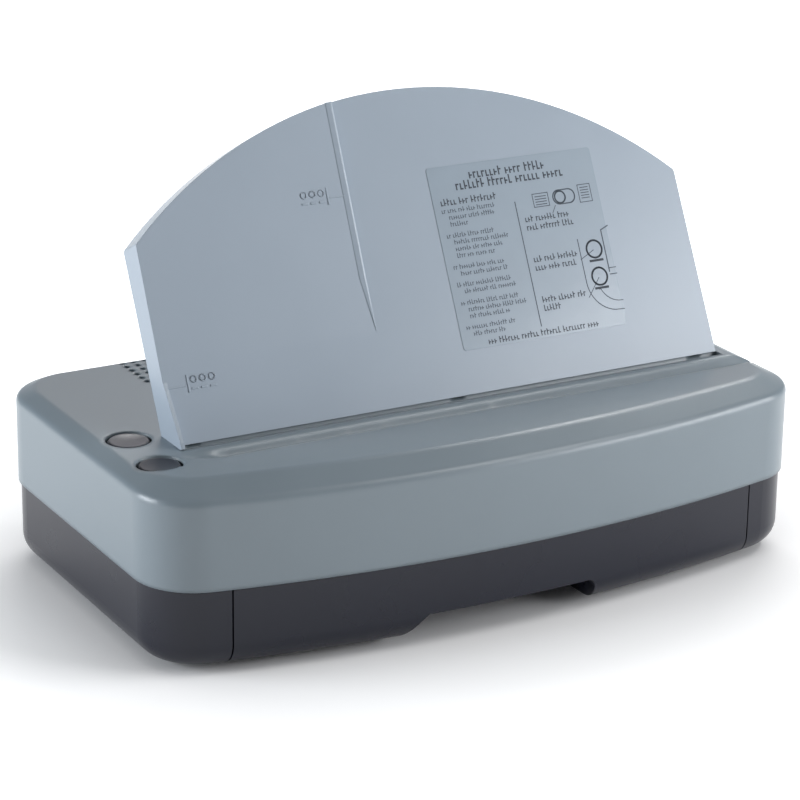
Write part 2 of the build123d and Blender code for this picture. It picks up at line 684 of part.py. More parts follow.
# ---------------------------------------------------------------- punch frame and die
FRAME = (FRAME_LEFT + SHEET, FRAME_RIGHT - SHEET)  # inner faces of the side plates
FRAME_TOP = -12.5      # the die and the stripper end here, below the slot
FRAME_BOTTOM = -41.0
STRIPPER = 3.0         # thickness behind the throat
CHANNEL_BACK = -49.5
DIE_FACE = THROAT_FRONT + 4.0
DIE_SCREWS_X = (-105, -40, 30, 80, 135)
DIE_SCREWS_S = (FRAME_BOTTOM + STOP_S) / 2
SCREW_HOLE_R = 2.05
BUSH_R = 5.5
BUSH_BACK = -9.8       # the bushes reach this far behind the guide's face
WINDOW = (-84.0, -54.0)  # opening for the tab of the cam bar

with BuildPart() as punch_frame:
    lean_block(*FRAME, FRAME_BOTTOM, FRAME_TOP, THROAT_BACK - STRIPPER, THROAT_BACK)
    lean_block(*FRAME, FRAME_BOTTOM - SHEET, FRAME_BOTTOM, CHANNEL_BACK, THROAT_BACK)
    lean_block(*FRAME, FRAME_BOTTOM, -10, CHANNEL_BACK, CHANNEL_BACK + SHEET)
    for x in PINS:
        lean_rod(x, HOLE_S, THROAT_BACK - STRIPPER - 1, THROAT_BACK + 1, BUSH_R, Mode.SUBTRACT)
    lean_block(*WINDOW, HOLE_S - 3, HOLE_S + 3, CHANNEL_BACK - 1, CHANNEL_BACK + SHEET + 1, Mode.SUBTRACT)
    for x in DIE_SCREWS_X:
        lean_rod(x, DIE_SCREWS_S, THROAT_BACK - STRIPPER - 1, THROAT_BACK + 1, SCREW_HOLE_R, Mode.SUBTRACT)
finish(punch_frame, "punch_frame")

with BuildPart() as die_plate:
    lean_block(*FRAME, FRAME_BOTTOM, FRAME_TOP, THROAT_FRONT, DIE_FACE)
    for x in PINS:
        lean_rod(x, HOLE_S, THROAT_FRONT - 1, DIE_FACE + 1, PIN_D / 2 + 0.1, Mode.SUBTRACT)
        lean_rod(x, HOLE_S, DIE_FACE - 1.5, DIE_FACE + 1, PIN_D / 2 + 1, Mode.SUBTRACT)
    for x in DIE_SCREWS_X:
        lean_rod(x, DIE_SCREWS_S, THROAT_FRONT - 1, DIE_FACE + 1, SCREW_HOLE_R, Mode.SUBTRACT)
finish(die_plate, "die_plate")

with BuildPart() as paper_stop:
    lean_block(*FRAME, FRAME_BOTTOM, STOP_S, THROAT_BACK, THROAT_FRONT)
    for x in DIE_SCREWS_X:
        lean_rod(x, DIE_SCREWS_S, THROAT_BACK - 1, THROAT_FRONT + 1, SCREW_HOLE_R, Mode.SUBTRACT)
finish(paper_stop, "paper_stop")

with BuildPart() as die_screws:
    for x in DIE_SCREWS_X:
        lean_rod(x, DIE_SCREWS_S, THROAT_BACK - STRIPPER - 2, DIE_FACE, 2.0)
        lean_rod(x, DIE_SCREWS_S, DIE_FACE, DIE_FACE + 2.4, 3.5)
        lean_rod(x, DIE_SCREWS_S, DIE_FACE + 1, DIE_FACE + 3, 1.5, Mode.SUBTRACT)
finish(die_screws, "die_screws")

with BuildPart() as pin_bushes:
    for x in PINS:
        lean_rod(x, HOLE_S, BUSH_BACK, THROAT_BACK, BUSH_R)
        lean_rod(x, HOLE_S, BUSH_BACK - 1, THROAT_BACK + 1, PIN_D / 2 + 0.04, Mode.SUBTRACT)
finish(pin_bushes, "pin_bushes")

SCREW_AXIS = at(HOLE_S, -58.0)  # y and z of the lead screw
PLATE_FRONT_Y = -27.0
PLATE_BACK_Y = 28.0
FOOT_W = 12.5


def side_plate(x, foot_x, screws):
    """Steel plate that carries one end of the frame on a bent foot; the throat stays open."""
    with BuildPart() as plate:
        with BuildSketch(along_x(x, 0, 0)):
            add(polygon(
                at(FRAME_TOP, DIE_FACE), at(FRAME_BOTTOM, DIE_FACE), at(FRAME_BOTTOM - SHEET, -1),
                (PLATE_FRONT_Y, 36.7), (PLATE_FRONT_Y, STAND_Z), (PLATE_BACK_Y, STAND_Z),
                (PLATE_BACK_Y, 46.0), at(-10, CHANNEL_BACK), at(-10, -20), at(FRAME_TOP, -4),
            ))
        extrude(amount=SHEET)
        lean_block(x - 1, x + SHEET + 1, STOP_S, 5, THROAT_BACK, THROAT_FRONT, Mode.SUBTRACT)
        slab(foot_x, foot_x + FOOT_W, PLATE_FRONT_Y, PLATE_BACK_Y, STAND_Z, STAND_Z + SHEET)
        rod_z(screws, STAND_Z - 1, STAND_Z + SHEET + 1, 1.7, Mode.SUBTRACT)
    return plate.part


with BuildPart() as side_plate_left:
    add(side_plate(FRAME_LEFT, FRAME_LEFT + SHEET, FRAME_SCREWS[:2]))
    rod_x(FRAME_LEFT - 1, FRAME_LEFT + SHEET + 1, SCREW_AXIS, 6.0, Mode.SUBTRACT)
finish(side_plate_left, "side_plate_left")

with BuildPart() as side_plate_right:
    add(side_plate(FRAME_RIGHT - SHEET, FRAME_RIGHT - SHEET - FOOT_W, FRAME_SCREWS[2:]))
finish(side_plate_right, "side_plate_right")

with BuildPart() as frame_screws:
    rod_z(FRAME_SCREWS, FLOOR_TOP + 0.5, STAND_Z + SHEET, 1.5)
    rod_z(FRAME_SCREWS, STAND_Z + SHEET, STAND_Z + SHEET + 2.4, 3.2)
    rod_z(FRAME_SCREWS, STAND_Z + SHEET + 1, STAND_Z + SHEET + 3, 1.2, Mode.SUBTRACT)
finish(frame_screws, "frame_screws")

# ---------------------------------------------------------------- punch pins and cam bar
HEAD_R = 5.5
HEAD_W = (-44.5, -19.5)
DOWEL_W = -38.0
DOWEL_R = 1.5
BAR_S = (HOLE_S - 1.5, HOLE_S + 1.5)
BAR_W = (-44.0, -23.0)
BAR_ENDS = (FRAME[0] + 1.2, 124.5)
TAB_ENDS = (-82.0, -68.0)
TAB_W = -53.0

for number, x in enumerate(PINS, 1):
    with BuildPart() as punch_pin:
        lean_rod(x, HOLE_S, HEAD_W[1], THROAT_BACK - 1, PIN_D / 2)
        lean_rod(x, HOLE_S, *HEAD_W, HEAD_R)
        # hollow tip, fork over the cam bar and the dowel's hole
        lean_rod(x, HOLE_S, THROAT_BACK - 2, THROAT_BACK, PIN_D / 2 - 0.9, Mode.SUBTRACT)
        lean_block(
            x - 6, x + 6, BAR_S[0] - 0.3, BAR_S[1] + 0.3, HEAD_W[0] - 1, BAR_W[1] + 0.5, Mode.SUBTRACT,
        )
        with BuildSketch(across(HOLE_S)):
            with Locations((x, -DOWEL_W)):
                Circle(DOWEL_R)
        extrude(amount=HEAD_R + 1, both=True, mode=Mode.SUBTRACT)
    finish(punch_pin, f"punch_pin_{number}")

    with BuildPart() as pin_dowel:
        with BuildSketch(across(HOLE_S)):
            with Locations((x, -DOWEL_W)):
                Circle(DOWEL_R)
        extrude(amount=HEAD_R - 0.2, both=True)
    finish(pin_dowel, f"pin_dowel_{number}")

with BuildPart() as cam_bar:
    lean_block(*BAR_ENDS, *BAR_S, *BAR_W)
    lean_block(*TAB_ENDS, *BAR_S, TAB_W, BAR_W[0])
    # slanted slots, one for each dowel
    with BuildSketch(across(BAR_S[0] - 1)):
        with Locations(*[(x - CAM_TRAVEL / 2, -DOWEL_W - STROKE / 2) for x in PINS]):
            SlotCenterToCenter(
                sqrt(CAM_TRAVEL ** 2 + STROKE ** 2), 2 * DOWEL_R + 0.3,
                rotation=degrees(atan2(STROKE, CAM_TRAVEL)),
            )
    extrude(amount=5, mode=Mode.SUBTRACT)
finish(cam_bar, "cam_bar")

with BuildPart() as bar_guides:
    # grooved blocks that take the push of the cams
    for x in (-20, 80):
        lean_block(x, x + 12, HOLE_S - 5, HOLE_S + 5, CHANNEL_BACK + SHEET, -40)
        lean_block(x - 1, x + 13, BAR_S[0] - 0.15, BAR_S[1] + 0.15, BAR_W[0] - 0.3, -39, Mode.SUBTRACT)
finish(bar_guides, "bar_guides")

# ---------------------------------------------------------------- screw drive and motor
GEAR_MODULE = 1.25
GEAR_TEETH = 42
PINION_TEETH = 14
BACKLASH = 0.4
SCREW_R = 4.0
SCREW_NECK_R = 3.0
GEAR_X = (-128.0, -122.0)
BEARING_X = ((FRAME[0], FRAME[0] + 6.0), (-40.0, -34.0))
NUT_X = (-84.0, -66.0)
CAN_X = (-112.0, -52.0)
CAN_R = 18.5
SHAFT_R = 2.0
MOTOR_Y = 50.0
MOTOR_HOLES = (-12.5, 12.5)  # tapped holes on each side of the shaft
CENTRES = (GEAR_TEETH + PINION_TEETH) * GEAR_MODULE / 2
MOTOR_AXIS = (MOTOR_Y, SCREW_AXIS[1] + sqrt(CENTRES ** 2 - (MOTOR_Y - SCREW_AXIS[0]) ** 2))
MESH = atan2(MOTOR_AXIS[1] - SCREW_AXIS[1], MOTOR_AXIS[0] - SCREW_AXIS[0])

with BuildPart() as lead_screw:
    rod_x(FRAME_LEFT - 1.5, -30, SCREW_AXIS, SCREW_R)
    rod_x(-132, FRAME_LEFT - 1.5, SCREW_AXIS, SCREW_NECK_R)
    # a collar beside each bearing
    rod_x(BEARING_X[0][1] + 0.3, BEARING_X[0][1] + 2.5, SCREW_AXIS, SCREW_R + 2)
    rod_x(BEARING_X[1][1] + 0.3, BEARING_X[1][1] + 2.5, SCREW_AXIS, SCREW_R + 2)
finish(lead_screw, "lead_screw")

with BuildPart() as screw_gear:
    with BuildSketch(along_x(GEAR_X[0], *SCREW_AXIS)):
        add(gear_outline(GEAR_TEETH, GEAR_MODULE, BACKLASH, MESH))
    extrude(amount=GEAR_X[1] - GEAR_X[0])
    rod_x(GEAR_X[1], FRAME_LEFT - 1.5, SCREW_AXIS, 7.0)
    rod_x(GEAR_X[0] - 1, FRAME_LEFT - 1.5, SCREW_AXIS, SCREW_NECK_R, Mode.SUBTRACT)
    # lightening holes
    with BuildSketch(along_x(GEAR_X[0] - 1, *SCREW_AXIS)):
        with PolarLocations(15.5, 6):
            Circle(4.5)
    extrude(amount=GEAR_X[1] - GEAR_X[0] + 2, mode=Mode.SUBTRACT)
finish(screw_gear, "screw_gear")

with BuildPart() as screw_bearings:
    for x0, x1 in BEARING_X:
        lean_block(x0, x1, HOLE_S - 7, HOLE_S + 7, -65, CHANNEL_BACK)
        rod_x(x0 - 1, x1 + 1, SCREW_AXIS, SCREW_R + 0.05, Mode.SUBTRACT)
finish(screw_bearings, "screw_bearings")

with BuildPart() as drive_nut:
    lean_block(*NUT_X, HOLE_S - 7, HOLE_S + 7, -65, -51)
    rod_x(NUT_X[0] - 1, NUT_X[1] + 1, SCREW_AXIS, SCREW_R + 0.05, Mode.SUBTRACT)
    lean_block(*TAB_ENDS, *BAR_S, TAB_W, -50, Mode.SUBTRACT)
finish(drive_nut, "drive_nut")

with BuildPart() as motor:
    rod_x(*CAN_X, MOTOR_AXIS, CAN_R)
    fillet(motor.edges().filter_by(GeomType.CIRCLE), 1.5)
    rod_x(CAN_X[0] - SHEET - 1, CAN_X[0], MOTOR_AXIS, 5.5)
    rod_x(CAN_X[1], CAN_X[1] + 3, MOTOR_AXIS, 6.0)
    for y in (-9, 9):
        slab(CAN_X[1] - 1, CAN_X[1] + 7, MOTOR_Y + y - 2, MOTOR_Y + y + 2, 47, 47.8)
    rod_x(CAN_X[0] - SHEET - 2, -90, MOTOR_AXIS, SHAFT_R + 0.05, Mode.SUBTRACT)
    for y in MOTOR_HOLES:
        rod_x(CAN_X[0] - 1, CAN_X[0] + 6, (MOTOR_Y + y, MOTOR_AXIS[1]), 1.5, Mode.SUBTRACT)
finish(motor, "motor")

with BuildPart() as motor_shaft:
    rod_x(-130, -91, MOTOR_AXIS, SHAFT_R)
finish(motor_shaft, "motor_shaft")

with BuildPart() as motor_pinion:
    with BuildSketch(along_x(GEAR_X[0], *MOTOR_AXIS)):
        add(gear_outline(PINION_TEETH, GEAR_MODULE, BACKLASH, MESH + pi + pi / PINION_TEETH))
        Circle(SHAFT_R, mode=Mode.SUBTRACT)
    extrude(amount=GEAR_X[1] - GEAR_X[0] + 1)
finish(motor_pinion, "motor_pinion")

with BuildPart() as motor_bracket:
    slab(CAN_X[0] - SHEET, CAN_X[0], 30, 72, STAND_Z, 68)
    slab(CAN_X[0] - SHEET, -95, 30, 72, STAND_Z, STAND_Z + SHEET)
    rod_x(CAN_X[0] - SHEET - 1, CAN_X[0] + 1, MOTOR_AXIS, 5.6, Mode.SUBTRACT)
    for y in MOTOR_HOLES:
        rod_x(CAN_X[0] - SHEET - 1, CAN_X[0] + 1, (MOTOR_Y + y, MOTOR_AXIS[1]), 1.6, Mode.SUBTRACT)
    rod_z(MOTOR_SCREWS, STAND_Z - 1, STAND_Z + SHEET + 1, 1.7, Mode.SUBTRACT)
finish(motor_bracket, "motor_bracket")

with BuildPart() as motor_screws:
    for y in MOTOR_HOLES:
        axis = (MOTOR_Y + y, MOTOR_AXIS[1])
        rod_x(CAN_X[0] - SHEET - 2, CAN_X[0] - SHEET, axis, 2.8)
        rod_x(CAN_X[0] - SHEET, CAN_X[0] + 5, axis, 1.5)
finish(motor_screws, "motor_screws")

with BuildPart() as bracket_screws:
    rod_z(MOTOR_SCREWS, FLOOR_TOP + 0.5, STAND_Z + SHEET, 1.5)
    rod_z(MOTOR_SCREWS, STAND_Z + SHEET, STAND_Z + SHEET + 2.4, 3.2)
finish(bracket_screws, "bracket_screws")

# ---------------------------------------------------------------- chute, switch, selector, inlet
CHUTE_X = (-112.0, 131.0)
CHUTE_FRONT_Y = -68.0
CHUTE_TOP = 78.0
CHUTE_BOTTOM = 41.0
CHUTE_WALL = 1.5

with BuildPart() as chip_chute:
    with BuildSketch(along_x(CHUTE_X[0], 0, 0)):
        add(polygon(
            at(-14, DIE_FACE), (-52, CHUTE_TOP), (CHUTE_FRONT_Y, CHUTE_TOP), (CHUTE_FRONT_Y, CHUTE_BOTTOM),
            (-50.5, CHUTE_BOTTOM), at(FRAME_BOTTOM, DIE_FACE),
        ))
    extrude(amount=CHUTE_X[1] - CHUTE_X[0])
    # hollow, and open towards the die and downwards
    front = CHUTE_FRONT_Y + CHUTE_WALL
    with BuildSketch(along_x(CHUTE_X[0] + CHUTE_WALL, 0, 0)):
        add(polygon(
            at(-15.7, DIE_FACE - 1), at(-15.7, DIE_FACE), (-52, CHUTE_TOP - CHUTE_WALL),
            (front, CHUTE_TOP - CHUTE_WALL), (front, CHUTE_BOTTOM - 1), (-40, CHUTE_BOTTOM - 1),
            at(FRAME_BOTTOM + 0.5, DIE_FACE - 1),
        ))
    extrude(amount=CHUTE_X[1] - CHUTE_X[0] - 2 * CHUTE_WALL, mode=Mode.SUBTRACT)
finish(chip_chute, "chip_chute")

with BuildPart() as limit_switch:
    lean_block(FRAME[1] - 8, FRAME[1], HOLE_S - 5, HOLE_S + 5, -40, -30)
    rod_x(FRAME[1] - 9, FRAME[1] - 8, at(HOLE_S, -34), 1.2)
finish(limit_switch, "limit_switch")

SELECTOR_X = SELECTOR_AT[0] - SELECTOR_TRAVEL / 2
SELECTOR_Y = SELECTOR_AT[1]
SELECTOR_Z = (77.8, 80.3)

with BuildPart() as selector_knob:
    with BuildSketch(Plane.XY.offset(PLATEAU_Z + 0.3)):
        with Locations((SELECTOR_X, SELECTOR_Y)):
            RectangleRounded(12, 9, 2)
    extrude(amount=3.4)
    fillet(selector_knob.edges().group_by(Axis.Z)[-1], 0.8)
    rod_z([(SELECTOR_X, SELECTOR_Y)], SELECTOR_Z[1], PLATEAU_Z + 0.3, 3.0)
    rod_z([(SELECTOR_X, SELECTOR_Y)], SELECTOR_Z[0], SELECTOR_Z[1], 1.5)
finish(selector_knob, "selector_knob")

with BuildPart() as selector_bar:
    # plate on its rails, an arm forward and down, and the bar over the channel
    slab(SELECTOR_X - 11, SELECTOR_X + 19, 52, 70, *SELECTOR_Z)
    slab(SELECTOR_X - 3, SELECTOR_X + 5, -2, 53, *SELECTOR_Z)
    slab(SELECTOR_X - 3, SELECTOR_X + 5, -2, 0.5, 62.5, SELECTOR_Z[1])
    lean_block(44, 126, -9, -7.5, -34, -26)
    rod_z([(SELECTOR_X, SELECTOR_Y)], SELECTOR_Z[0] - 1, SELECTOR_Z[1] + 1, 1.5, Mode.SUBTRACT)
finish(selector_bar, "selector_bar")

JACK_PIN_R = 1.05
JACK_FACE_Y = BACK_Y - BASE_INSET

with BuildPart() as dc_jack:
    with BuildSketch(Plane(origin=(JACK_AT[0], JACK_FACE_Y, JACK_AT[1]), z_dir=(0, -1, 0))):
        Circle(JACK_D / 2)
        Circle(2.75, mode=Mode.SUBTRACT)
    extrude(amount=10)
    slab(
        JACK_AT[0] - 7, JACK_AT[0] + 7, JACK_FACE_Y - 14, JACK_FACE_Y - 10, JACK_AT[1] - 6, JACK_AT[1] + 6,
    )
    with BuildSketch(Plane(origin=(JACK_AT[0], JACK_FACE_Y - 1, JACK_AT[1]), z_dir=(0, -1, 0))):
        Circle(JACK_PIN_R)
    extrude(amount=10)
finish(dc_jack, "dc_jack")

with BuildPart() as cover_screws:
    rod_z(BOSSES, FOOT_H + 2.5, FOOT_H + 5, 3.0)
    rod_z(BOSSES, FOOT_H + 5, BOSS_SPLIT_Z + 14, 1.5)
    rod_z(BOSSES, FOOT_H + 2, FOOT_H + 4, 1.2, Mode.SUBTRACT)
finish(cover_screws, "cover_screws")
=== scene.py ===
"""Looks of an electric desk hole punch: housing, leaning guide, buttons, label, drive parts and studio.

Everything is in metres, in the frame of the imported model: X along the machine, -Y to the front, +Z up.
"""
import json
import math

import bmesh
import bpy
import numpy as np
from bpy.props import FloatProperty, FloatVectorProperty, IntProperty, PointerProperty
from bpy.types import Operator, Panel, PropertyGroup
from mathutils import Matrix, Vector


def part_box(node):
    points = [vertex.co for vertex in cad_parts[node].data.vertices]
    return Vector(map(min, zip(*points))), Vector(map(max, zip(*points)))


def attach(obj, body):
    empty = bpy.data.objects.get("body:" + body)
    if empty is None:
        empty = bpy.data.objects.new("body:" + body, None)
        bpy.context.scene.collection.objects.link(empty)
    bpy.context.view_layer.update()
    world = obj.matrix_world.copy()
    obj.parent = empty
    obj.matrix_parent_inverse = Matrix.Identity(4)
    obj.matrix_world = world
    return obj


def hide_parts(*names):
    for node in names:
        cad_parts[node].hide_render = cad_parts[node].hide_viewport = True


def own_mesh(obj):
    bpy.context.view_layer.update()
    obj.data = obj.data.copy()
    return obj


bl_info = {
    "name": "Electric hole punch",
    "version": (1, 0, 0),
    "blender": (4, 5, 0),
    "location": "View3D > Sidebar > Hole punch",
    "description": "Builds the finish of an electric desk hole punch round its packed model",
    "category": "Add Mesh",
}

MM = 0.001

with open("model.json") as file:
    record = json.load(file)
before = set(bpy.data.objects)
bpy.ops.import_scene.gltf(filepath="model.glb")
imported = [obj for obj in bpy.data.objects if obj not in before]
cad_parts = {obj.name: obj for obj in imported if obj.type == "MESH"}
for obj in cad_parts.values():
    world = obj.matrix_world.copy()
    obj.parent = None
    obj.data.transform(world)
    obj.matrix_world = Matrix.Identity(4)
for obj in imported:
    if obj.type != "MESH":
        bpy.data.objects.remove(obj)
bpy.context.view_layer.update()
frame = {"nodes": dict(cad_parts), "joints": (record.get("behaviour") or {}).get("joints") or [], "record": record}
NODES = frame["nodes"]
JOINTS = {joint["name"]: joint for joint in frame["joints"]}
BODY_OF = {
    node: body
    for body, members in frame["record"]["behaviour"]["bodies"].items()
    for node in members
}


# ---------------------------------------------------------------- places read from the frame
def corners(node):
    """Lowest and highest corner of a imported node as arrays."""
    low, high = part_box(node)
    return np.array(low), np.array(high)


def middle(node):
    """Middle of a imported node's box."""
    low, high = corners(node)
    return (low + high) / 2


FORWARD = np.array(JOINTS["pin_1_stroke"]["axis"], float)  # square out of the guide's face
UPSLOPE = np.array((0.0, FORWARD[2], -FORWARD[1]))         # up the guide's face
ALONG = np.array((1.0, 0.0, 0.0))
LABEL_LOW, LABEL_HIGH = corners("instruction_label")
GUIDE_LEFT = corners("paper_guide")[0][0]
STEP_EDGE = 106.5 * MM  # from the guide's left side to the edge of its raised part


def leaning_size(low, high):
    """Height up the slope and thickness of a leaning slab, from the depth and the height of its box."""
    lean = np.array(((UPSLOPE[1], -FORWARD[1]), (UPSLOPE[2], FORWARD[2])))
    return np.linalg.solve(lean, (high - low)[1:])


LABEL_HEIGHT, LABEL_THICKNESS = leaning_size(LABEL_LOW, LABEL_HIGH)
# the label's front face starts at the front edge of its foot
LABEL_FOOT = np.array((0.0, LABEL_LOW[1], LABEL_LOW[2] + LABEL_THICKNESS * FORWARD[2]))


def on_guide(x, s, w):
    """World points for x along the machine, s up the slope from the label's foot and w out of its face."""
    x, s, w = np.broadcast_arrays(np.asarray(x, float), np.asarray(s, float), np.asarray(w, float))
    return LABEL_FOOT + x[..., None] * ALONG + s[..., None] * UPSLOPE + w[..., None] * FORWARD


# ---------------------------------------------------------------- sizes and colours a user may change
class PunchSizes(PropertyGroup):
    dish: FloatProperty(
        name="Button dish", description="Depth of the hollow in a button's top",
        default=0.5 * MM, unit="LENGTH",
    )
    thread_pitch: FloatProperty(
        name="Thread pitch", description="Advance of the lead screw in one turn",
        default=JOINTS["cam_slide"]["range_m"][1] / 3, unit="LENGTH",
    )
    thread_depth: FloatProperty(
        name="Thread depth", description="Depth of the lead screw's thread",
        default=0.9 * MM, unit="LENGTH",
    )
    print_height: FloatProperty(
        name="Print height", description="How far the printed marks stand off the label",
        default=0.03 * MM, unit="LENGTH",
    )
    mark_height: FloatProperty(
        name="Mark height", description="How far the moulded marks stand off the guide",
        default=0.08 * MM, unit="LENGTH",
    )
    knob_ridges: IntProperty(
        name="Knob ridges", description="Number of grip ridges on the selector knob", default=5,
    )


class PunchColours(PropertyGroup):
    cover: FloatVectorProperty(
        name="Cover", description="Moulded colour of the cover", subtype="COLOR_GAMMA",
        default=(0.498, 0.546, 0.576),
    )
    guide: FloatVectorProperty(
        name="Guide", description="Moulded colour of the paper guide", subtype="COLOR_GAMMA",
        default=(0.655, 0.702, 0.749),
    )
    base: FloatVectorProperty(
        name="Base", description="Moulded colour of the base and the drawer", subtype="COLOR_GAMMA",
        default=(0.07, 0.084, 0.145),
    )
    start_button: FloatVectorProperty(
        name="START button", description="Moulded colour of the START button", subtype="COLOR_GAMMA",
        default=(0.14, 0.145, 0.175),
    )
    reverse_button: FloatVectorProperty(
        name="REVERSE button", description="Moulded colour of the REVERSE button", subtype="COLOR_GAMMA",
        default=(0.24, 0.245, 0.275),
    )


class StudioSettings(PropertyGroup):
    camera_place: FloatVectorProperty(
        name="Camera place", description="Where the camera stands", subtype="XYZ",
        default=(-0.6287, -1.0946, 0.5247),
    )
    azimuth: FloatProperty(
        name="Azimuth", description="Turn of the view from straight front", subtype="ANGLE",
        default=math.radians(-29.612),
    )
    elevation: FloatProperty(
        name="Elevation", description="How far the view looks down", subtype="ANGLE",
        default=math.radians(19.58),
    )
    roll: FloatProperty(
        name="Roll", description="Tilt of the camera about its view", subtype="ANGLE",
        default=math.radians(0.81),
    )
    lens: FloatProperty(
        name="Lens", description="Focal length on a 36 mm sensor", default=131.9,
    )
    left_light: FloatProperty(
        name="Left light", description="Power of the softbox on the left", default=30.0, unit="POWER",
    )
    right_light: FloatProperty(
        name="Right light", description="Power of the softbox on the front right", default=29.0, unit="POWER",
    )
    boom_light: FloatProperty(
        name="Boom light", description="Power of the strip softbox over the front", default=5.0, unit="POWER",
    )
    rim_light: FloatProperty(
        name="Rim light", description="Power of the strip softbox behind", default=9.0, unit="POWER",
    )
    back_light: FloatProperty(
        name="Back light", description="Power of the wide low softbox behind", default=4.0, unit="POWER",
    )
    room_light: FloatProperty(
        name="Room light", description="Strength of the even light of the room", default=0.14,
    )


# ---------------------------------------------------------------- meshes
def new_object(name, verts, faces):
    """A smooth mesh object from an array of points and an array of quads."""
    mesh = bpy.data.meshes.new(name)
    mesh.vertices.add(len(verts))
    mesh.vertices.foreach_set("co", np.ascontiguousarray(verts, np.float32).ravel())
    mesh.loops.add(faces.size)
    mesh.loops.foreach_set("vertex_index", np.ascontiguousarray(faces, np.int32).ravel())
    mesh.polygons.add(len(faces))
    mesh.polygons.foreach_set("loop_start", np.arange(len(faces), dtype=np.int32) * faces.shape[1])
    mesh.polygons.foreach_set("use_smooth", np.full(len(faces), True))
    mesh.update(calc_edges=True)
    mesh.validate()
    piece = bpy.data.objects.new(name, mesh)
    bpy.context.scene.collection.objects.link(piece)
    return piece


def grid_faces(rows, cols):
    """Quads that join the neighbours of a grid of points; the last column joins the first."""
    i, j = (k.ravel() for k in np.meshgrid(np.arange(rows - 1), np.arange(cols), indexing="ij"))
    i2, j2 = i + 1, (j + 1) % cols
    return np.stack([i * cols + j, i2 * cols + j, i2 * cols + j2, i * cols + j2], -1)


def surface(name, points, sharp=35):
    """A smooth surface over rings of points; doubled points at poles are merged."""
    rows, cols = points.shape[:2]
    piece = new_object(name, points.reshape(-1, 3), grid_faces(rows, cols))
    clean(piece, sharp)
    return piece


def clean(piece, sharp, distance=1e-7):
    """Merge doubled points, turn the faces outwards and keep edges sharp past an angle in degrees."""
    work = bmesh.new()
    work.from_mesh(piece.data)
    bmesh.ops.remove_doubles(work, verts=work.verts, dist=distance)
    bmesh.ops.recalc_face_normals(work, faces=work.faces)
    work.to_mesh(piece.data)
    work.free()
    piece.data.polygons.foreach_set("use_smooth", np.full(len(piece.data.polygons), True))
    piece.data.set_sharp_from_angle(angle=math.radians(sharp))


def soften(profile, radius, steps=4):
    """Round every inner corner of a profile: each corner becomes a parabola between points radius away."""
    profile = np.asarray(profile, float)
    before = profile[:-2] - profile[1:-1]
    after = profile[2:] - profile[1:-1]
    reach_before = np.linalg.norm(before, axis=1, keepdims=True)
    reach_after = np.linalg.norm(after, axis=1, keepdims=True)
    cut = np.minimum(radius, 0.45 * np.minimum(reach_before, reach_after))
    start = profile[1:-1] + before / reach_before * cut
    end = profile[1:-1] + after / reach_after * cut
    t = np.linspace(0, 1, steps + 1)[None, :, None]
    curve = (1 - t) ** 2 * start[:, None] + 2 * t * (1 - t) * profile[1:-1, None] + t ** 2 * end[:, None]
    return np.vstack([profile[:1], curve.reshape(-1, 2), profile[-1:]])


def revolve(name, profile, centre, axis="Z", steps=96, sharp=35):
    """Turn a profile of (radius, height) about an axis: each point becomes a circle at its height."""
    angle = np.linspace(0, 2 * math.pi, steps, endpoint=False)
    radius, height = np.asarray(profile, float).T
    across = radius[:, None] * np.cos(angle)
    up = radius[:, None] * np.sin(angle)
    along = np.broadcast_to(height[:, None], across.shape)
    order = (across, up, along) if axis == "Z" else (along, across, up)
    return surface(name, np.stack(order, -1) + np.asarray(centre), sharp=sharp)


def tube(name, path, radius, sides=12):
    """A round tube along a path: circles square to the path, in a frame held by a fixed side direction."""
    path = np.asarray(path, float)
    forward = np.gradient(path, axis=0)
    forward /= np.linalg.norm(forward, axis=1, keepdims=True)
    side = np.cross(forward, (0.0, 0.0, 1.0))
    side /= np.linalg.norm(side, axis=1, keepdims=True)
    lift = np.cross(side, forward)
    angle = np.linspace(0, 2 * math.pi, sides, endpoint=False)[None, :, None]
    ring = path[:, None] + radius * (np.cos(angle) * side[:, None] + np.sin(angle) * lift[:, None])
    ends = [np.broadcast_to(path[k], (1, sides, 3)) for k in (0, -1)]
    return surface(name, np.concatenate([ends[0], ring, ends[1]]))


def dress(piece, body, material, replaces=()):
    """Give a piece its material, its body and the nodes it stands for."""
    piece.data.materials.clear()
    piece.data.materials.append(material)
    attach(piece, body)
    if replaces:
        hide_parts(*replaces)
    return piece


# ---------------------------------------------------------------- materials
DRIFTS_PER_METRE = 22.0  # a moulding's tone drifts over about 45 mm
STAINS_PER_METRE = 90.0  # plating and oil cloud a metal over about 11 mm
CLOUDS_PER_METRE = 60.0  # the label film's tone drifts over about 17 mm


def to_linear(value):
    """An sRGB channel as a linear one."""
    return value / 12.92 if value <= 0.04045 else ((value + 0.055) / 1.055) ** 2.4


def colour(code):
    """A linear colour from a hex code or from three sRGB channels."""
    if isinstance(code, str):
        code = [int(code[k:k + 2], 16) / 255 for k in (1, 3, 5)]
    return (*[to_linear(c) for c in code], 1.0)


def add_node(tree, kind, links=None, **settings):
    """Add a node, set its properties, and set or link its inputs by name or index."""
    node = tree.nodes.new("ShaderNode" + kind)
    for key, value in settings.items():
        setattr(node, key, value)
    for key, value in (links or {}).items():
        if isinstance(value, bpy.types.NodeSocket):
            tree.links.new(value, node.inputs[key])
        else:
            node.inputs[key].default_value = value
    return node


def blank(name):
    """A new material with an empty node tree and its output."""
    material = bpy.data.materials.new(name)
    material.use_nodes = True
    material.node_tree.nodes.clear()
    return material, material.node_tree, add_node(material.node_tree, "OutputMaterial")


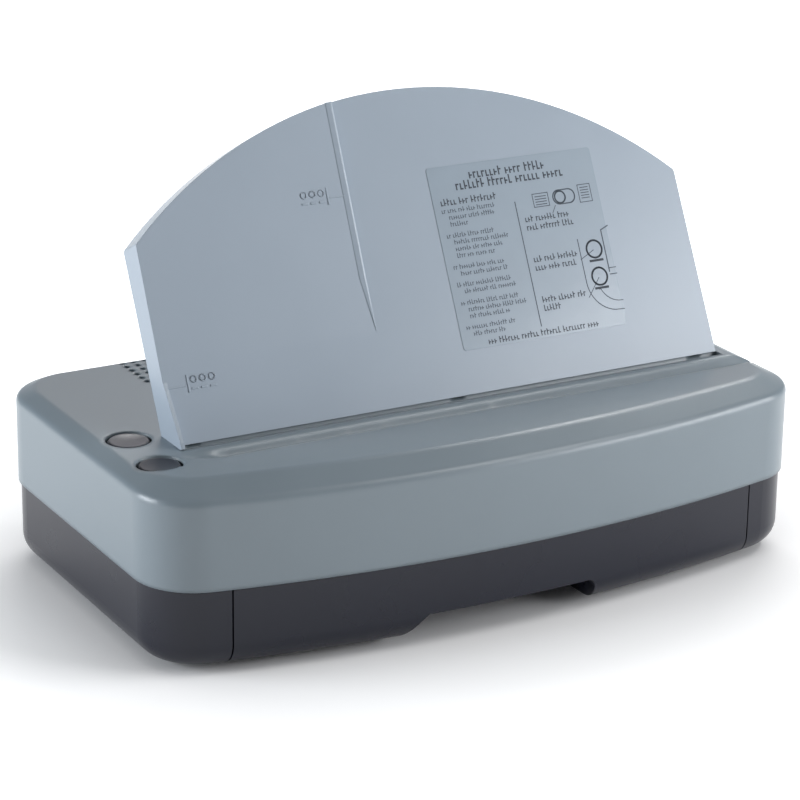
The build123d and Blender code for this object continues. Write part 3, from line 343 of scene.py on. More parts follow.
def moulded(name, base, roughness, grain_mm, depth_mm, mottle=0.04, ior=1.46, edge_mm=0.3):
    """An injection moulding: even colour with a faint drift, and the grain of the mould as bump.

    Edges look rounded over edge_mm, in the shading alone.
    """
    material, tree, output = blank(name)
    place = add_node(tree, "TexCoord").outputs["Object"]
    drift = add_node(tree, "TexNoise", {"Vector": place, "Scale": DRIFTS_PER_METRE, "Detail": 3.0})
    tint = add_node(
        tree, "MapRange", {"Value": drift.outputs["Fac"], "To Min": 1 - mottle, "To Max": 1 + mottle},
    )
    body = add_node(
        tree, "VectorMath", {0: base[:3], "Scale": tint.outputs["Result"]}, operation="SCALE",
    )
    grain = add_node(tree, "TexNoise", {"Vector": place, "Scale": 1 / (grain_mm * MM), "Detail": 2.0})
    rounded = add_node(tree, "Bevel", {"Radius": edge_mm * MM}, samples=6)
    bump = add_node(tree, "Bump", {
        "Height": grain.outputs["Fac"], "Distance": depth_mm * MM, "Strength": 0.6,
        "Normal": rounded.outputs["Normal"],
    })
    polish = add_node(
        tree, "MapRange",
        {"Value": drift.outputs["Fac"], "To Min": roughness - 0.04, "To Max": roughness + 0.05},
    )
    shader = add_node(tree, "BsdfPrincipled", {
        "Base Color": body.outputs["Vector"], "Roughness": polish.outputs["Result"],
        "Normal": bump.outputs["Normal"], "IOR": ior,
    })
    tree.links.new(shader.outputs["BSDF"], output.inputs["Surface"])
    return material


def metal(name, base, roughness, stretch, line_mm=0.25, depth_mm=0.01, stain=0.08):
    """Worked metal: fine lines drawn out along one axis by the tool, with slightly uneven brightness."""
    material, tree, output = blank(name)
    place = add_node(tree, "TexCoord").outputs["Object"]
    drawn = add_node(tree, "Mapping", {"Vector": place, "Scale": stretch})
    lines = add_node(
        tree, "TexNoise", {"Vector": drawn.outputs["Vector"], "Scale": 1 / (line_mm * MM), "Detail": 3.0},
    )
    drift = add_node(tree, "TexNoise", {"Vector": place, "Scale": STAINS_PER_METRE, "Detail": 4.0})
    tint = add_node(
        tree, "MapRange", {"Value": drift.outputs["Fac"], "To Min": 1 - stain, "To Max": 1 + stain},
    )
    body = add_node(
        tree, "VectorMath", {0: base[:3], "Scale": tint.outputs["Result"]}, operation="SCALE",
    )
    polish = add_node(
        tree, "MapRange",
        {"Value": lines.outputs["Fac"], "To Min": roughness - 0.07, "To Max": roughness + 0.09},
    )
    bump = add_node(
        tree, "Bump", {"Height": lines.outputs["Fac"], "Distance": depth_mm * MM, "Strength": 0.5},
    )
    shader = add_node(tree, "BsdfPrincipled", {
        "Base Color": body.outputs["Vector"], "Metallic": 1.0,
        "Roughness": polish.outputs["Result"], "Normal": bump.outputs["Normal"],
    })
    tree.links.new(shader.outputs["BSDF"], output.inputs["Surface"])
    return material


def circuit_laminate(name):
    """Glass epoxy under green solder mask: straight copper runs show through as lighter green lines."""
    material, tree, output = blank(name)
    place = add_node(tree, "TexCoord").outputs["Object"]
    runs = add_node(
        tree, "TexBrick",
        {"Vector": place, "Scale": 1 / (6 * MM), "Mortar Size": 0.03,
         "Color1": colour("#1f5a34"), "Color2": colour("#235f39"), "Mortar": colour("#3f8a57")},
    )
    shader = add_node(tree, "BsdfPrincipled", {
        "Base Color": runs.outputs["Color"], "Roughness": 0.35, "Coat Weight": 0.5, "Coat Roughness": 0.15,
    })
    tree.links.new(shader.outputs["BSDF"], output.inputs["Surface"])
    return material


def label_film(name, base):
    """Satin polyester label film: smooth, with a faint orange peel from its laminate."""
    material, tree, output = blank(name)
    place = add_node(tree, "TexCoord").outputs["Object"]
    peel = add_node(tree, "TexNoise", {"Vector": place, "Scale": 1 / (1.6 * MM), "Detail": 1.0})
    bump = add_node(
        tree, "Bump", {"Height": peel.outputs["Fac"], "Distance": 0.02 * MM, "Strength": 0.5},
    )
    cloud = add_node(tree, "TexNoise", {"Vector": place, "Scale": CLOUDS_PER_METRE, "Detail": 2.0})
    body = add_node(
        tree, "MixRGB",
        {"Fac": cloud.outputs["Fac"], "Color1": base, "Color2": tuple(min(c * 1.08, 1) for c in base)},
    )
    shader = add_node(tree, "BsdfPrincipled", {
        "Base Color": body.outputs["Color"], "Roughness": 0.26, "Normal": bump.outputs["Normal"],
        "Coat Weight": 0.4, "Coat Roughness": 0.1,
    })
    tree.links.new(shader.outputs["BSDF"], output.inputs["Surface"])
    return material


def screen_ink(name, code):
    """Screen-printed ink: dense, matt, with pinholes too fine to see drawn as a slight unevenness."""
    material, tree, output = blank(name)
    place = add_node(tree, "TexCoord").outputs["Object"]
    cover = add_node(tree, "TexNoise", {"Vector": place, "Scale": 1 / (0.7 * MM), "Detail": 2.0})
    base = colour(code)
    body = add_node(
        tree, "MixRGB",
        {"Fac": cover.outputs["Fac"], "Color1": base, "Color2": tuple(min(c * 1.35, 1) for c in base)},
    )
    shader = add_node(tree, "BsdfPrincipled", {"Base Color": body.outputs["Color"], "Roughness": 0.6})
    tree.links.new(shader.outputs["BSDF"], output.inputs["Surface"])
    return material


def make_materials(colours):
    """One material for each slot of the model, and a few for the pieces added here."""
    return {
        # ABS from a spark-eroded mould: an even satin that spreads highlights into soft bands
        "cover_plastic": moulded(
            "ABS, satin moulded", colour(colours.cover), 0.31, 1.1, 0.012, ior=1.6, edge_mm=3.0,
        ),
        # polystyrene from a polished mould: smoother and glossier than the cover
        "guide_plastic": moulded(
            "Polystyrene, polished mould", colour(colours.guide), 0.21, 2.4, 0.006, 0.02,
        ),
        # dark ABS with the same grain, which shows its highlights more
        "base_plastic": moulded("ABS, charcoal moulded", colour(colours.base), 0.27, 1.1, 0.015, 0.06),
        # acetal caps, slightly waxy and smooth from the finger
        "button_plastic": moulded("Acetal, charcoal cap", colour(colours.start_button), 0.3, 1.6, 0.02, 0.05),
        "light_cap": moulded("Acetal, grey cap", colour(colours.reverse_button), 0.3, 1.6, 0.02, 0.05),
        # natural acetal: milky white, waxy
        "acetal": moulded("Acetal, natural", colour("#dcd8cc"), 0.32, 1.5, 0.02, 0.03),
        # black glass-filled nylon: matt with a coarse mould grain
        "inner_plastic": moulded("Nylon, glass filled black", colour("#1c1d20"), 0.5, 0.9, 0.05, 0.1),
        # nitrile rubber feet: matt black, dusty
        "rubber": moulded("Nitrile rubber, moulded", colour("#17171a"), 0.75, 0.8, 0.06, 0.15),
        "label_film": label_film("Polyester label film, satin", colour("#95a3af")),
        "board": circuit_laminate("Glass epoxy board, green mask"),
        # bright zinc on pressed steel: bluish, faintly cloudy
        "steel": metal("Steel sheet, zinc plated", colour("#b4b9be"), 0.32, (0.2, 1.0, 1.0)),
        # hardened and ground: grey, with fine grinding lines along X
        "hard_steel": metal("Tool steel, ground", colour("#8d9196"), 0.24, (0.06, 1.0, 1.0)),
        # drawn music wire: bright, with short lines along Z
        "spring_steel": metal("Music wire, drawn", colour("#c2c4c6"), 0.22, (1.0, 1.0, 0.3)),
        # black zinc on screws: dark, with an even fine grain
        "screw_steel": metal("Screw steel, black zinc", colour("#3d3e42"), 0.35, (1.0, 1.0, 1.0)),
        # drawn motor can: zinc plated, with lines along the can
        "motor_can": metal("Motor can, drawn steel", colour("#a7abb0"), 0.28, (0.1, 1.0, 1.0)),
        # free-turning brass: warm, with fine turning marks
        "brass": metal("Brass, turned", colour("#c9a55c"), 0.25, (3.0, 0.3, 0.3)),
        "print": screen_ink("Screen ink, slate grey", "#45505b"),
        "print_bold": screen_ink("Screen ink, dark grey", "#343d47"),
    }


MATERIALS = {}
SLOT_OF = {part["node"]: part["material_slot"] for part in frame["record"]["subparts"]}


class PUNCH_OT_materials(Operator):
    """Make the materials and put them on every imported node"""
    bl_idname = "punch.materials"
    bl_label = "Materials"

    def execute(self, context):
        MATERIALS.update(make_materials(context.scene.punch_colours))
        for node, piece in NODES.items():
            piece.data.materials.clear()
            piece.data.materials.append(MATERIALS[SLOT_OF[node]])
        return {"FINISHED"}


# ---------------------------------------------------------------- buttons and springs
def cap_profile(node, dish):
    """Half section of a button: dished top, rounded rim, skirt and a stem with a groove for its ring.

    The dish is a parabola that is deepest in the middle.
    """
    low, high = corners(node)
    rim = (high[0] - low[0]) / 2
    top = high[2] - low[2]
    stem = 3.0 * MM
    neck = stem - 0.6 * MM
    inside, under = rim - 1.5 * MM, top - 1.8 * MM
    skirt = top - 4.2 * MM
    groove_low, groove_high = 0.4 * MM, 1.2 * MM
    r = np.linspace(0, rim - 1.6 * MM, 10)
    hollow = np.stack([r, top - dish * (1 - (r / r[-1]) ** 2)], -1)
    edge = [
        (rim - 0.9 * MM, top), (rim, top - 0.8 * MM), (rim, skirt), (inside, skirt), (inside, under),
        (stem, under), (stem, groove_high), (neck, groove_high), (neck, groove_low), (stem, groove_low),
        (stem, 0.0), (0.0, 0.0),
    ]
    return soften(np.vstack([hollow, edge]), 0.45 * MM)


class PUNCH_OT_buttons(Operator):
    """The two push buttons, turned from one profile with a dished top"""
    bl_idname = "punch.buttons"
    bl_label = "Buttons"

    def execute(self, context):
        dish = context.scene.punch_sizes.dish
        for node, finish in (("start_button", "button_plastic"), ("reverse_button", "light_cap")):
            low, _ = corners(node)
            x, y, _ = middle(node)
            cap = revolve(f"{node}_cap", cap_profile(node, dish), (x, y, low[2]), sharp=50)
            dress(cap, BODY_OF[node], MATERIALS[finish], [node])
        return {"FINISHED"}


class PUNCH_OT_springs(Operator):
    """Button springs: a helix whose first and last turns lie flat"""
    bl_idname = "punch.springs"
    bl_label = "Button springs"

    def execute(self, context):
        turns, wire_radius = 5.0, 0.4 * MM
        t = np.linspace(0, 1, 240)
        # the climb is slow over the first and the last turn and even between them
        climb = np.interp(t, (0, 1 / turns, 1 - 1 / turns, 1), (0.0, 0.16, 0.84, 1.0))
        for node, joint in (("start_spring", "start_press"), ("reverse_spring", "reverse_press")):
            low, high = corners(node)
            x, y, _ = middle(node)
            radius = (high[0] - low[0]) / 2 - wire_radius
            z = low[2] + wire_radius + climb * (high[2] - low[2] - 2 * wire_radius)
            path = np.stack([
                x + radius * np.cos(2 * math.pi * turns * t), y + radius * np.sin(2 * math.pi * turns * t), z,
            ], -1)
            spring = tube(f"{node}_coil", path, wire_radius, sides=10)
            dress(spring, BODY_OF[node], MATERIALS["spring_steel"], [node])
            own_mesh(spring)
        return {"FINISHED"}


# ---------------------------------------------------------------- label and marks on the guide
def prisms(outlines, low, high):
    """Flat prisms on the guide: each outline is lifted from low to high and closed at both ends."""
    verts, faces, start = [], [], 0
    for outline in outlines:
        outline = np.asarray(outline, float)
        count = len(outline)
        verts.append(on_guide(outline[:, 0], outline[:, 1], low))
        verts.append(on_guide(outline[:, 0], outline[:, 1], high))
        k = np.arange(count)
        ring = np.stack([k, (k + 1) % count, (k + 1) % count + count, k + count], -1)
        faces += (ring + start).tolist()
        faces.append((k + count + start).tolist())
        faces.append((k[::-1] + start).tolist())
        start += 2 * count
    return np.concatenate(verts), faces


def print_piece(name, outlines, low, high):
    """One mesh of flat prisms."""
    verts, faces = prisms(outlines, low, high)
    mesh = bpy.data.meshes.new(name)
    mesh.from_pydata(verts.tolist(), [], faces)
    piece = bpy.data.objects.new(name, mesh)
    bpy.context.scene.collection.objects.link(piece)
    work = bmesh.new()
    work.from_mesh(mesh)
    bmesh.ops.recalc_face_normals(work, faces=work.faces)
    work.to_mesh(mesh)
    work.free()
    return piece


def bar(x, s, length, height):
    """A plain bar whose left end is at x and whose middle line is at s."""
    half = height / 2
    return [(x, s - half), (x + length, s - half), (x + length, s + half), (x, s + half)]


def stroke(points, width):
    """Bars along a broken line: one four-cornered outline for each stretch, with square ends."""
    points = np.asarray(points, float)
    outlines = []
    for a, b in zip(points[:-1], points[1:]):
        run = (b - a) / np.linalg.norm(b - a)
        side = np.array((-run[1], run[0])) * width / 2
        tip = run * width / 2
        outlines.append([a - tip - side, b + tip - side, b + tip + side, a - tip + side])
    return outlines


def arc(x, s, radius, start, end, steps):
    """Points on a circle between two angles in degrees."""
    angle = np.radians(np.linspace(start, end, steps))
    return np.stack([x + radius * np.cos(angle), s + radius * np.sin(angle)], -1)


def print_row(rng, across, down, length, height):
    """A row of print too small to read: each mark is an upright with one short bar beside it."""
    pitch, stem = 0.74 * height, 0.24 * height
    outlines, at = [], 0.0
    while at < length - 2 * pitch:
        marks = min(int(rng.integers(3, 9)), int((length - at) / pitch))
        for k in range(marks):
            left = across + at + k * pitch
            tall = height * (1.4 if rng.random() < 0.3 else 1.0)
            outlines.append(bar(left, down - tall / 2, stem, tall))
            level = down - rng.choice((0.12, 0.5, 0.88)) * height
            outlines.append(bar(left, level, 0.56 * height, stem))
        at += (marks + 0.7) * pitch
    return outlines


def label_rows(rng):
    """Rows of print, in millimetres across and down from the label's top left corner."""
    heading = [(21.5, 7.2, 46, 3.0), (13.5, 11.8, 61, 3.0), (4.0, 18.2, 34, 2.3), (13.5, 83.9, 61, 2.1)]
    beside_drawings = [(46, 31, 25, 2.1), (46, 35, 26, 2.1), (46, 50, 24, 2.1), (46, 54, 23, 2.1),
                       (46, 69, 24, 2.1), (46, 73, 13, 2.1)]
    bold = [mark for row in heading + beside_drawings for mark in print_row(rng, *row)]
    # six numbered steps: where each starts, and how long its rows are
    steps = ((21.7, (28, 24.5, 12.5)), (33.2, (23, 29.5, 25.5, 23)), (47.8, (24.5, 25.5)), (56, (27.5, 29)),
             (64.5, (28.5, 33.5, 21.5)), (75.8, (23.5, 18)))
    small, row_pitch = [], 3.15
    for down, lengths in steps:
        small += print_row(rng, 3.6, down, 2.6, 1.6)
        for k, length in enumerate(lengths):
            small += print_row(rng, 6.8, down + k * row_pitch, length, 1.6)
    return bold, small


def selector_drawing():
    """The hole selector between a landscape and an upright sheet, in millimetres on the label."""
    lines = []
    for x0, x1, y0, y1 in ((52.3, 60.6, 18.5, 24.7), (77.3, 84.0, 17.1, 25.4)):
        lines += stroke([(x0, y0), (x1, y0), (x1, y1), (x0, y1), (x0, y0)], 0.4)
        for y in np.arange(y0 + 1.4, y1 - 0.8, 1.25):
            lines.append(bar(x0 + 1.1, y, x1 - x0 - 2.2, 0.45))
    middle_y, reach = 21.5, 3.3
    slot = np.vstack([
        arc(71.6, middle_y, reach, -90, 90, 14), arc(66.4, middle_y, reach, 90, 270, 14),
        [(71.6, middle_y - reach)],
    ])
    lines += stroke(slot, 0.6)
    lines += stroke(arc(66.9, middle_y, reach - 0.5, 0, 360, 28), 0.7)
    lines += stroke([(63.5, 25.2), (61.4, 28.4)], 0.35)
    return lines


def corner_drawing():
    """The machine's front corner with its two buttons and the guide's foot, in millimetres on the label."""
    thin, thick = [], []
    for x, top in ((79.2, 48.0), (79.0, 61.0)):
        thick += stroke(arc(x, top, 4.1, 0, 360, 30), 0.9)
        thick.append(bar(x - 3.8, top + 5.4, 7.6, 1.1))
    # the corner's wall and its inner edge: straight down, then a quarter round to the front
    thin += stroke(np.vstack([[(71.3, 42.5)], arc(86.0, 63.0, 14.7, 180, 98, 12), [(88.6, 77.8)]]), 0.45)
    thin += stroke(np.vstack([[(77.4, 67.0)], arc(88.0, 63.0, 10.6, 158, 98, 8), [(88.8, 73.6)]]), 0.4)
    thin += stroke([(88.9, 38.0), (84.9, 39.6), (84.9, 59.5)], 0.6)
    thin += stroke([(88.6, 57.8), (85.0, 57.8)], 0.45)
    thin += stroke([(88.6, 60.8), (85.0, 60.8)], 0.45)
    # leaders from the print to the buttons
    thin += stroke([(71.0, 52.0), (78.6, 48.4)], 0.35)
    thin += stroke([(71.0, 70.0), (78.4, 61.6)], 0.35)
    return thick, thin


class PUNCH_OT_label(Operator):
    """The instruction label's print: columns of small print and plain drawings"""
    bl_idname = "punch.label"
    bl_label = "Label print"

    def execute(self, context):
        rng = np.random.default_rng(7)
        bold, fine = label_rows(rng)
        fine += selector_drawing()
        thick, thin = corner_drawing()
        bold += thick
        fine += thin
        fine += stroke([(42.5, 21.0), (42.5, 79.5)], 0.5)
        print_height = context.scene.punch_sizes.print_height
        for name, outlines, ink in (
            ("label_small_print", fine, "print"), ("label_bold_print", bold, "print_bold"),
        ):
            # millimetres down the label become metres up the guide
            placed = [
                np.asarray(outline) * (MM, -MM) + (LABEL_LOW[0], LABEL_HEIGHT) for outline in outlines
            ]
            piece = print_piece(name, placed, 0.0, print_height)
            dress(piece, "chassis", MATERIALS[ink], ())
        return {"FINISHED"}


def sheet_mark(x, s, turn, rings):
    """A moulded mark: a line, an upright at its end, and the sheet's holes over a row of plain dashes."""
    outlines = stroke([(x, s), (x + turn * 8 * MM, s)], 0.5 * MM)
    end = x + turn * 9.2 * MM
    outlines += stroke([(end, s - 2.6 * MM), (end, s + 4.4 * MM)], 0.7 * MM)
    for k in range(rings):
        across = end + turn * (3 + 4.4 * k) * MM
        outlines += stroke(arc(across, s + 2.6 * MM, 1.4 * MM, 0, 360, 13), 0.5 * MM)
        outlines.append(bar(across - 1.5 * MM, s - 1.4 * MM, 3 * MM, 0.9 * MM))
    return outlines


def step_edge():
    """The raised step's rounded edge: a low bead whose section follows the step's slanting face.

    Along the edge the face rises evenly from the step's foot, and the bead grows over its first part.
    """
    foot, top, rise, grow = 15.1 * MM, 120.2 * MM, 3.4 / 108.2, 25 * MM
    s = np.concatenate([[foot], np.linspace(foot, top, 60), [top]])
    size = np.clip((s - foot) / grow, 0.02, 1)
    size[[0, -1]] = 0.0
    section = soften([
        (-3.4, -0.5), (-3.4, -0.04), (-2.0, 0.12), (-0.9, 0.26), (-0.2, 0.14), (0.12, -0.25), (0.12, -1.2),
        (-0.5, -1.2), (-3.4, -0.5),
    ], 0.5)[:-1] * MM
    x = GUIDE_LEFT + STEP_EDGE + size[:, None] * section[:, 0]
    w = rise * (s - foot)[:, None] + size[:, None] * section[:, 1]
    return on_guide(x, s[:, None], w)


class PUNCH_OT_guide_marks(Operator):
    """Moulded marks on the guide, one beside the fence and one beside the raised step"""
    bl_idname = "punch.guide_marks"
    bl_label = "Guide marks"

    def execute(self, context):
        height = context.scene.punch_sizes.mark_height
        marks = {
            "fence_marks": (sheet_mark(GUIDE_LEFT + 2.2 * MM, 5.2 * MM, 1, 3), 0.0),
            "step_marks": (sheet_mark(GUIDE_LEFT + 104.6 * MM, 77.5 * MM, -1, 3), 1.95 * MM),
        }
        for name, (outlines, lift) in marks.items():
            piece = print_piece(name, outlines, lift - 0.5 * MM, lift + height)
            dress(piece, "chassis", MATERIALS["guide_plastic"], ())
        bead = surface("step_edge", step_edge(), sharp=60)
        dress(bead, "chassis", MATERIALS["guide_plastic"], ())
        return {"FINISHED"}


# ---------------------------------------------------------------- drive, selector and inlet
class PUNCH_OT_lead_screw(Operator):
    """The lead screw: radius falls into a rounded groove that follows a helix of the thread's pitch"""
    bl_idname = "punch.lead_screw"
    bl_label = "Lead screw"

    def execute(self, context):
        sizes = context.scene.punch_sizes
        low, high = corners("lead_screw")
        _, y, z = JOINTS["screw_turn"]["pos_m"]
        outer, neck, collar_radius, collar_length = 4.0 * MM, 3.0 * MM, 6.0 * MM, 2.2 * MM
        bearing = corners("screw_bearings")
        neck_end = corners("side_plate_left")[0][0] - 1.5 * MM
        thread = (bearing[0][0] + 9 * MM, bearing[1][0] - 7 * MM)
        x = np.concatenate([
            [low[0], low[0], neck_end, neck_end], np.linspace(thread[0], thread[1], 420), [high[0], high[0]],
        ])
        base = np.full(len(x), outer)
        base[:3] = neck
        base[[0, -1]] = 0.0
        angle = np.linspace(0, 2 * math.pi, 48, endpoint=False)
        phase = (x[:, None] / sizes.thread_pitch - angle[None] / (2 * math.pi)) % 1.0
        # a flat crest, then a groove with a rounded floor; it fades out at both ends of the thread
        groove = np.clip(1.4 * np.sin(math.pi * phase) - 0.4, 0, 1) ** 0.7
        fade = np.clip(np.minimum(x - thread[0], thread[1] - x) / sizes.thread_pitch, 0, 1)
        radius = base[:, None] - sizes.thread_depth * groove * fade[:, None]
        points = np.stack([
            np.broadcast_to(x[:, None], radius.shape), y + radius * np.cos(angle), z + radius * np.sin(angle),
        ], -1)
        screw = surface("lead_screw_thread", points, sharp=60)
        dress(screw, "screw", MATERIALS["steel"], ["lead_screw"])
        collars = {
            "screw_collar_left": bearing[0][0] + 6.3 * MM, "screw_collar_right": bearing[1][0] + 0.3 * MM,
        }
        ring = [(outer, 0), (collar_radius, 0), (collar_radius, collar_length), (outer, collar_length)]
        for name, x0 in collars.items():
            collar = revolve(name, soften(ring, 0.3 * MM), (x0, y, z), axis="X", steps=48)
            dress(collar, "screw", MATERIALS["steel"], ())
        return {"FINISHED"}


class PUNCH_OT_motor(Operator):
    """The motor: a drawn can with rolled ends, a rear bearing boss and tags"""
    bl_idname = "punch.motor"
    bl_label = "Motor"

    def execute(self, context):
        _, y, z = JOINTS["motor_turn"]["pos_m"]
        front = corners("motor")[0][0] + 3.5 * MM
        back = corners("motor")[1][0] - 7 * MM
        can, shaft_hole, boss, rear_boss = 18.5 * MM, 2.2 * MM, 5.4 * MM, 6.0 * MM
        boss_end, rear_end = front - 3.4 * MM, back + 3 * MM
        rolled = can - 0.5 * MM  # floor of the groove rolled round the can near its back
        profile = soften([
            (shaft_hole, boss_end), (boss, boss_end), (boss, front), (can - 1.2 * MM, front),
            (can, front + 1.5 * MM), (can, back - 9 * MM), (rolled, back - 8.4 * MM),
            (rolled, back - 7.6 * MM), (can, back - 7 * MM), (can, back - 2 * MM), (can - 2 * MM, back),
            (rear_boss, back), (rear_boss, rear_end), (shaft_hole, rear_end), (0.0, back + 2.6 * MM),
        ], 0.5 * MM)
        motor = revolve("motor_body", profile, (0, y, z), axis="X")
        dress(motor, "chassis", MATERIALS["motor_can"], ["motor"])
        # magnet ring round the can
        sheet = can + 0.8 * MM
        ring_start, ring_end = back - 40 * MM, back - 18 * MM
        ring = [(can, ring_start), (sheet, ring_start), (sheet, ring_end), (can, ring_end)]
        sleeve = revolve("motor_flux_ring", soften(ring, 0.25 * MM), (0, y, z), axis="X")
        dress(sleeve, "chassis", MATERIALS["steel"], ())
        # solder tags: flat blades with rounded tips
        half, reach, root = 2.0 * MM, back + 5.0 * MM, back - 1 * MM
        for side in (-1, 1):
            t = np.linspace(0, math.pi, 9)
            across = y + side * 9 * MM
            tip = np.stack([reach + half * np.sin(t), across + half * np.cos(t)], -1)
            outline = np.vstack([[(root, across + half)], tip, [(root, across - half)]])
            levels = np.array((z - 0.9 * MM, z - 0.1 * MM))
            points = np.stack([np.column_stack([outline, np.full(len(outline), level)]) for level in levels])
            heart = points.mean(axis=1, keepdims=True)
            cap = np.broadcast_to(heart, points.shape)
            tag = surface(
                "motor_tag_left" if side < 0 else "motor_tag_right",
                np.stack([cap[0], points[0], points[1], cap[1]]),
            )
            dress(tag, "chassis", MATERIALS["brass"], ())
        return {"FINISHED"}


class PUNCH_OT_selector_grip(Operator):
    """The selector knob: a rounded block whose top is crossed by grip ridges"""
    bl_idname = "punch.selector_grip"
    bl_label = "Selector knob"

    def execute(self, context):
        ridges = context.scene.punch_sizes.knob_ridges
        low, high = corners("selector_knob")
        x, y, _ = middle("selector_knob")
        foot = high[2] - 3.4 * MM
        half_x, half_y = (high[0] - low[0]) / 2, (high[1] - low[1]) / 2
        # top: a superellipse in plan, rings shrink from the edge to the middle
        squareness, ridge_depth = 0.45, 0.55 * MM
        angle = np.linspace(0, 2 * math.pi, 96, endpoint=False)
        cos, sin = np.cos(angle), np.sin(angle)
        edge_x = half_x * np.sign(cos) * np.abs(cos) ** squareness
        edge_y = half_y * np.sign(sin) * np.abs(sin) ** squareness
        rows = []
        for share, level in ((0.0, 0.0), (1.0, 0.0), (1.0, 0.35), (1.0, 0.7), (0.985, 0.85), (0.94, 0.95)):
            height = np.full(len(angle), foot + level * (high[2] - foot))
            rows.append(np.stack([x + share * edge_x, y + share * edge_y, height], -1))
        for share in np.linspace(0.9, 0.0, 16):
            px = share * edge_x
            wave = 0.5 - 0.5 * np.cos(2 * math.pi * ridges * (px / (2 * half_x) + 0.5))
            # the ridges fade out towards the edge
            height = high[2] - ridge_depth * wave * np.clip((0.95 - share) * 12, 0, 1)
            rows.append(np.stack([x + px, y + share * edge_y, height], -1))
        knob = surface("selector_knob_grip", np.stack(rows), sharp=50)
        dress(knob, "selector", MATERIALS["button_plastic"], ["selector_knob"])
        thin, thick, shoulder, top = 1.5 * MM, 3 * MM, 2.5 * MM, foot - low[2]
        neck = [(0, 0), (thin, 0), (thin, shoulder), (thick, shoulder), (thick, top), (0, top)]
        stem = revolve("selector_knob_stem", soften(neck, 0.2 * MM), (x, y, low[2]), steps=40)
        dress(stem, "selector", MATERIALS["button_plastic"], ())
        return {"FINISHED"}


class PUNCH_OT_inlet_pin(Operator):
    """The power inlet's nickel-plated centre pin, a thin bright sleeve with a rounded tip"""
    bl_idname = "punch.inlet_pin"
    bl_label = "Power inlet pin"

    def execute(self, context):
        pin = next(m for m in frame["record"]["mounts"] if m["kind"] == "pin")
        x, y, z = pin["pos_m"]
        plating = 0.03 * MM
        r = pin["dims"]["r_mm"] * MM + plating
        half = pin["dims"]["length_mm"] * MM / 2
        # radius is even along the pin and closes as a quarter circle at the tip
        along = np.linspace(-half, half + plating, 40)
        close = np.clip((half + plating - along) / r, 0, 1)
        radius = r * np.sqrt(1 - (1 - close) ** 2)
        angle = np.linspace(0, 2 * math.pi, 32, endpoint=False)
        radius = np.concatenate([[0.0], radius])
        along = np.concatenate([[along[0]], along])
        across, up = radius[:, None] * np.cos(angle), radius[:, None] * np.sin(angle)
        points = np.stack([x + across, y + np.broadcast_to(along[:, None], across.shape), z + up], -1)
        sleeve = surface("inlet_pin_plating", points)
        dress(sleeve, "chassis", MATERIALS["steel"], ())
        return {"FINISHED"}


# ---------------------------------------------------------------- studio
FLOOR_HALF = 6.0      # metres from the middle of the floor to its edge
FLOOR_GLOW = 0.66     # strength of the floor's own white where nothing stands near
PAINTED_SHADOW_REACH = 0.25    # metres over which the painted shadow round the machine darkens that white
PAINTED_SHADOW_POWER = 2.6     # how steeply that painted shadow darkens


def aim(place, target):
    """Rotation that points an object's -Z from place to target with its X level."""
    forward = (Vector(target) - Vector(place)).normalized()
    return forward.to_track_quat("-Z", "Y").to_matrix().to_4x4()


def softbox(name, direction, distance, width, height, power, tint):
    """A rectangular area lamp that looks at the machine from a direction."""
    target = np.array((0.0, 0.0, 0.08))
    place = target + distance * np.array(direction) / np.linalg.norm(direction)
    lamp = bpy.data.lights.new(name, "AREA")
    lamp.shape = "RECTANGLE"
    lamp.size = width
    lamp.size_y = height
    lamp.energy = power
    lamp.color = colour(tint)[:3]
    piece = bpy.data.objects.new(name, lamp)
    bpy.context.scene.collection.objects.link(piece)
    piece.matrix_world = Matrix.Translation(place) @ aim(place, target)


def floor_material():
    """White card: diffuse, with its own white added where the camera sees it, also in a reflection.

    Near the machine ambient occlusion dims the added white: a painted shadow, also seen in reflections.
    """
    material, tree, output = blank("White studio card")
    rays = add_node(tree, "LightPath")
    # ambient occlusion dims the floor's white near the machine, a painted shadow
    painted_shadow_ao = add_node(tree, "AmbientOcclusion", {"Distance": PAINTED_SHADOW_REACH}, samples=8)
    share = add_node(tree, "Math", {0: painted_shadow_ao.outputs["AO"], 1: PAINTED_SHADOW_POWER}, operation="POWER")
    strength = add_node(tree, "Math", {0: share.outputs[0], 1: FLOOR_GLOW}, operation="MULTIPLY")
    card = add_node(tree, "BsdfDiffuse", {"Color": colour("#f2f2f2"), "Roughness": 0.0})
    glow = add_node(tree, "Emission", {"Color": (1, 1, 1, 1), "Strength": strength.outputs[0]})
    none = add_node(tree, "Emission", {"Color": (0, 0, 0, 1), "Strength": 0.0})
    direct = add_node(
        tree, "Math",
        {0: rays.outputs["Is Camera Ray"], 1: rays.outputs["Is Glossy Ray"]}, operation="MAXIMUM",
    )
    through = add_node(
        tree, "Math", {0: direct.outputs[0], 1: rays.outputs["Is Transmission Ray"]}, operation="MAXIMUM",
    )
    seen = add_node(
        tree, "MixShader", {0: through.outputs[0], 1: none.outputs[0], 2: glow.outputs[0]},
    )
    both = add_node(tree, "AddShader", {0: card.outputs[0], 1: seen.outputs[0]})
    tree.links.new(both.outputs[0], output.inputs["Surface"])
    return material


